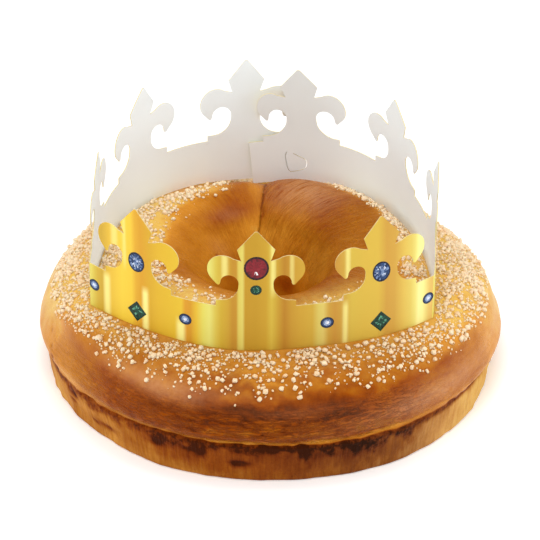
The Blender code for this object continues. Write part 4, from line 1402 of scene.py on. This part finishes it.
class KINGCAKE_OT_sugar(bpy.types.Operator):
    """Strews pearl sugar, its chips and fine sugar over the shoulder and the crest"""

    bl_idname = "king_cake.sugar"
    bl_label = "Pearl sugar"
    bl_options = {"REGISTER", "UNDO"}

    def strew(self, name, form, places, normals, sizes, look, rng, sugar):
        flatness, roughness, sunk, tilt = look
        points, faces = joined_grains(form, places, normals, sizes, flatness, roughness, sunk, tilt, rng)
        mesh = mesh_from_arrays(name, points + ring_middle(), faces)
        toast = rng.beta(1.2, 4.0, len(places)).repeat(len(form[0]))
        add_mask(mesh, "toast", toast)
        place_piece(name, mesh, [sugar_material(sugar)])

    def sift(self, crust, sugar, kind, spread, closeness, bareness, rng):
        """Places, normals and sizes of one kind of sugar, clear of the card and of each other."""
        size, density, limit = (getattr(sugar, f"{kind}_{part}") for part in ("size", "density", "limit"))
        surface, angle, rows = crust
        places, normals = scatter(surface, angle, rows, density, CLUMP_SIZE, bareness, rng)
        sizes = size * np.clip(np.exp(spread * rng.normal(size=len(places))), *SIZE_LIMITS)
        clear = np.flatnonzero(off_the_card(places) > 0.55 * sizes + CLEAR_OF_CARD)
        places, normals, sizes = places[clear], normals[clear], sizes[clear]
        keep = np.flatnonzero(keep_apart(places, sizes, closeness))[:limit]
        return places[keep], normals[keep], sizes[keep]

    def execute(self, context):
        sugar = context.scene.king_cake_sugar
        dough = Dough()
        crust = crust_surface(dough, context.scene.king_cake_crust), dough.angle, dough.rows
        rng = np.random.default_rng(7)
        forms = {"nib": pebble, "chip": chip, "grain": shard}
        for name, kind, spread, closeness, bareness, look in SUGAR_KINDS:
            grains = self.sift(crust, sugar, kind, spread, closeness, bareness, rng)
            self.strew(name, forms[kind](), *grains, look, rng, sugar)
            self.report({"INFO"}, f"{name}: {len(grains[0])} grains")
        return {"FINISHED"}


class KINGCAKE_OT_crown(bpy.types.Operator):
    """Bends the die-cut strip into the crown, gold outside and bare board inside"""

    bl_idname = "king_cake.crown"
    bl_label = "Card crown"
    bl_options = {"REGISTER", "UNDO"}

    def execute(self, context):
        crown = context.scene.king_cake_crown
        mesh = flat_card(crown.thickness)
        cut_for_bending(mesh)
        flat = np.empty(len(mesh.vertices) * 3)
        mesh.vertices.foreach_get("co", flat)
        flat = flat.reshape(-1, 3)
        corners = np.empty(len(mesh.loops), np.int32)
        mesh.loops.foreach_get("vertex_index", corners)
        strip = mesh.uv_layers.new(name="strip")
        strip.data.foreach_set("uv", flat[corners, :2].astype(np.float32).ravel())
        bent = bend_card(flat, crown.waviness) + ring_middle()
        mesh.vertices.foreach_set("co", bent.astype(np.float32).ravel())
        mesh.update()
        mesh.shade_smooth()
        mesh.set_sharp_from_angle(angle=np.radians(40.0))
        mesh.name = "crown_card"
        faces = [gold_material(crown), board_material(crown), edge_material(crown)]
        piece = place_piece("crown_card", mesh, faces)
        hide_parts("crown")
        return {"FINISHED"}


class KINGCAKE_OT_jewels(bpy.types.Operator):
    """Prints the red, green and blue jewels on the crown as thin facetted plates"""

    bl_idname = "king_cake.jewels"
    bl_label = "Printed jewels"
    bl_options = {"REGISTER", "UNDO"}

    def execute(self, context):
        crown, jewels = context.scene.king_cake_crown, context.scene.king_cake_jewels
        stones = {"red_jewels": jewels.ruby, "green_jewels": jewels.emerald, "blue_jewels": jewels.sapphire}
        for name, places in jewel_places().items():
            rng = np.random.default_rng(len(name) + 50)
            plates = []
            for place, (offset, height, half_width, half_height), corners, tones in places:
                plates.append(jewel_plate(place + offset, height, half_width, half_height, corners,
                                          crown.thickness, rng, tones))
            starts = np.cumsum([0] + [len(points) for points, _, _ in plates[:-1]])
            points = bend_card(np.vstack([plate[0] for plate in plates]), crown.waviness) + ring_middle()
            faces = np.vstack([plate[1] + start for plate, start in zip(plates, starts)])
            mesh = mesh_from_arrays(name, points, faces)
            mesh.shade_flat()
            facets = np.stack([plate[2] for plate in plates])
            if name == "red_jewels":
                facets[:, GLINT_FACETS] = 1.0
            add_mask(mesh, "facet", facets, domain="FACE")
            dark, light = colour(JEWEL_DARKS[name]), colour(JEWEL_LIGHTS[name])
            material = jewel_material(name, dark, stones[name], light, jewels.gloss)
            place_piece(name, mesh, [material])
        return {"FINISHED"}


class KINGCAKE_OT_stage(bpy.types.Operator):
    """Sets the pale floor, the soft lights and the camera"""

    bl_idname = "king_cake.stage"
    bl_label = "Stage"
    bl_options = {"REGISTER", "UNDO"}

    def floor(self, stage):
        half = stage.floor_size / 2
        corners = np.array([(-half, -half, 0.0), (half, -half, 0.0), (half, half, 0.0), (-half, half, 0.0)])
        mesh = mesh_from_arrays("floor", corners - (0.0, 0.0, 0.2 * MM), np.array([[0, 1, 2, 3]]))
        material, tree, shader = new_material("pale_floor")
        place = node(tree, "ShaderNodeTexCoord").outputs["Object"]
        tone = scaled(tree, noise(tree, place, 3.0), 0.02, 0.5)
        grey = tuple(0.97 * part for part in stage.floor[:3]) + (1.0,)
        tree.links.new(blend(tree, tone, stage.floor, grey), shader.inputs["Base Color"])
        shader.inputs["Roughness"].default_value = 0.9
        shader.inputs["Emission Color"].default_value = (1.0, 1.0, 1.0, 1.0)
        shader.inputs["Emission Strength"].default_value = stage.glow
        mesh.materials.append(material)
        floor = bpy.data.objects.new("floor", mesh)
        bpy.context.scene.collection.objects.link(floor)

    def soft_box(self, name, place, size, power):
        lamp = bpy.data.lights.new(name, "AREA")
        lamp.shape = "RECTANGLE"
        lamp.size, lamp.size_y = size
        lamp.energy = power
        box = bpy.data.objects.new(name, lamp)
        box.location = place
        box.rotation_euler = (Vector(LIGHT_AIM) - Vector(place)).to_track_quat("-Z", "Y").to_euler()
        bpy.context.scene.collection.objects.link(box)

    def camera(self):
        data = bpy.data.cameras.new("camera")
        data.lens, data.sensor_width = CAMERA_LENS, SENSOR_WIDTH
        data.clip_start, data.clip_end = 0.1, 20.0
        camera = bpy.data.objects.new("camera", data)
        tilt = np.radians(CAMERA_ELEVATION)
        back = Vector((0.0, -np.cos(tilt), np.sin(tilt)))
        camera.location = Vector(CAMERA_AIM) + CAMERA_DISTANCE * back
        camera.rotation_euler = (-back).to_track_quat("-Z", "Y").to_euler()
        bpy.context.scene.collection.objects.link(camera)
        bpy.context.scene.camera = camera

    def execute(self, context):
        stage = context.scene.king_cake_stage
        self.floor(stage)
        for side, place, size in SOFT_BOXES:
            self.soft_box(side + "_soft_box", place, size, getattr(stage, side + "_light"))
        world = bpy.data.worlds.new("white_surroundings")
        world.use_nodes = True
        background = world.node_tree.nodes["Background"]
        background.inputs["Color"].default_value = (1.0, 0.995, 0.985, 1.0)
        background.inputs["Strength"].default_value = stage.sky
        context.scene.world = world
        context.scene.view_settings.view_transform = "Standard"
        self.camera()
        return {"FINISHED"}


class KINGCAKE_PT_panel(bpy.types.Panel):
    """Lists the steps that make the cake"""

    bl_label = "King Cake"
    bl_space_type = "VIEW_3D"
    bl_region_type = "UI"
    bl_category = "King Cake"

    def draw(self, context):
        layout = self.layout
        for step, settings in STEPS:
            layout.operator(step.bl_idname)
            group = getattr(context.scene, settings)
            for name in group.__annotations__:
                layout.prop(group, name)


GROUPS = {
    "king_cake_crust": CrustSettings,
    "king_cake_sugar": SugarSettings,
    "king_cake_crown": CrownSettings,
    "king_cake_jewels": JewelSettings,
    "king_cake_stage": StageSettings,
}
STEPS = (
    (KINGCAKE_OT_crust, "king_cake_crust"),
    (KINGCAKE_OT_sugar, "king_cake_sugar"),
    (KINGCAKE_OT_crown, "king_cake_crown"),
    (KINGCAKE_OT_jewels, "king_cake_jewels"),
    (KINGCAKE_OT_stage, "king_cake_stage"),
)


def register():
    for name, group in GROUPS.items():
        bpy.utils.register_class(group)
        setattr(bpy.types.Scene, name, PointerProperty(type=group))
    for step, _ in STEPS:
        bpy.utils.register_class(step)
    bpy.utils.register_class(KINGCAKE_PT_panel)


def unregister():
    bpy.utils.unregister_class(KINGCAKE_PT_panel)
    for step, _ in reversed(STEPS):
        bpy.utils.unregister_class(step)
    for name, group in reversed(GROUPS.items()):
        delattr(bpy.types.Scene, name)
        bpy.utils.unregister_class(group)


def main():
    register()
    bpy.ops.king_cake.crust()
    bpy.ops.king_cake.sugar()
    bpy.ops.king_cake.crown()
    bpy.ops.king_cake.jewels()
    bpy.ops.king_cake.stage()


if __name__ == "__main__":
    main()
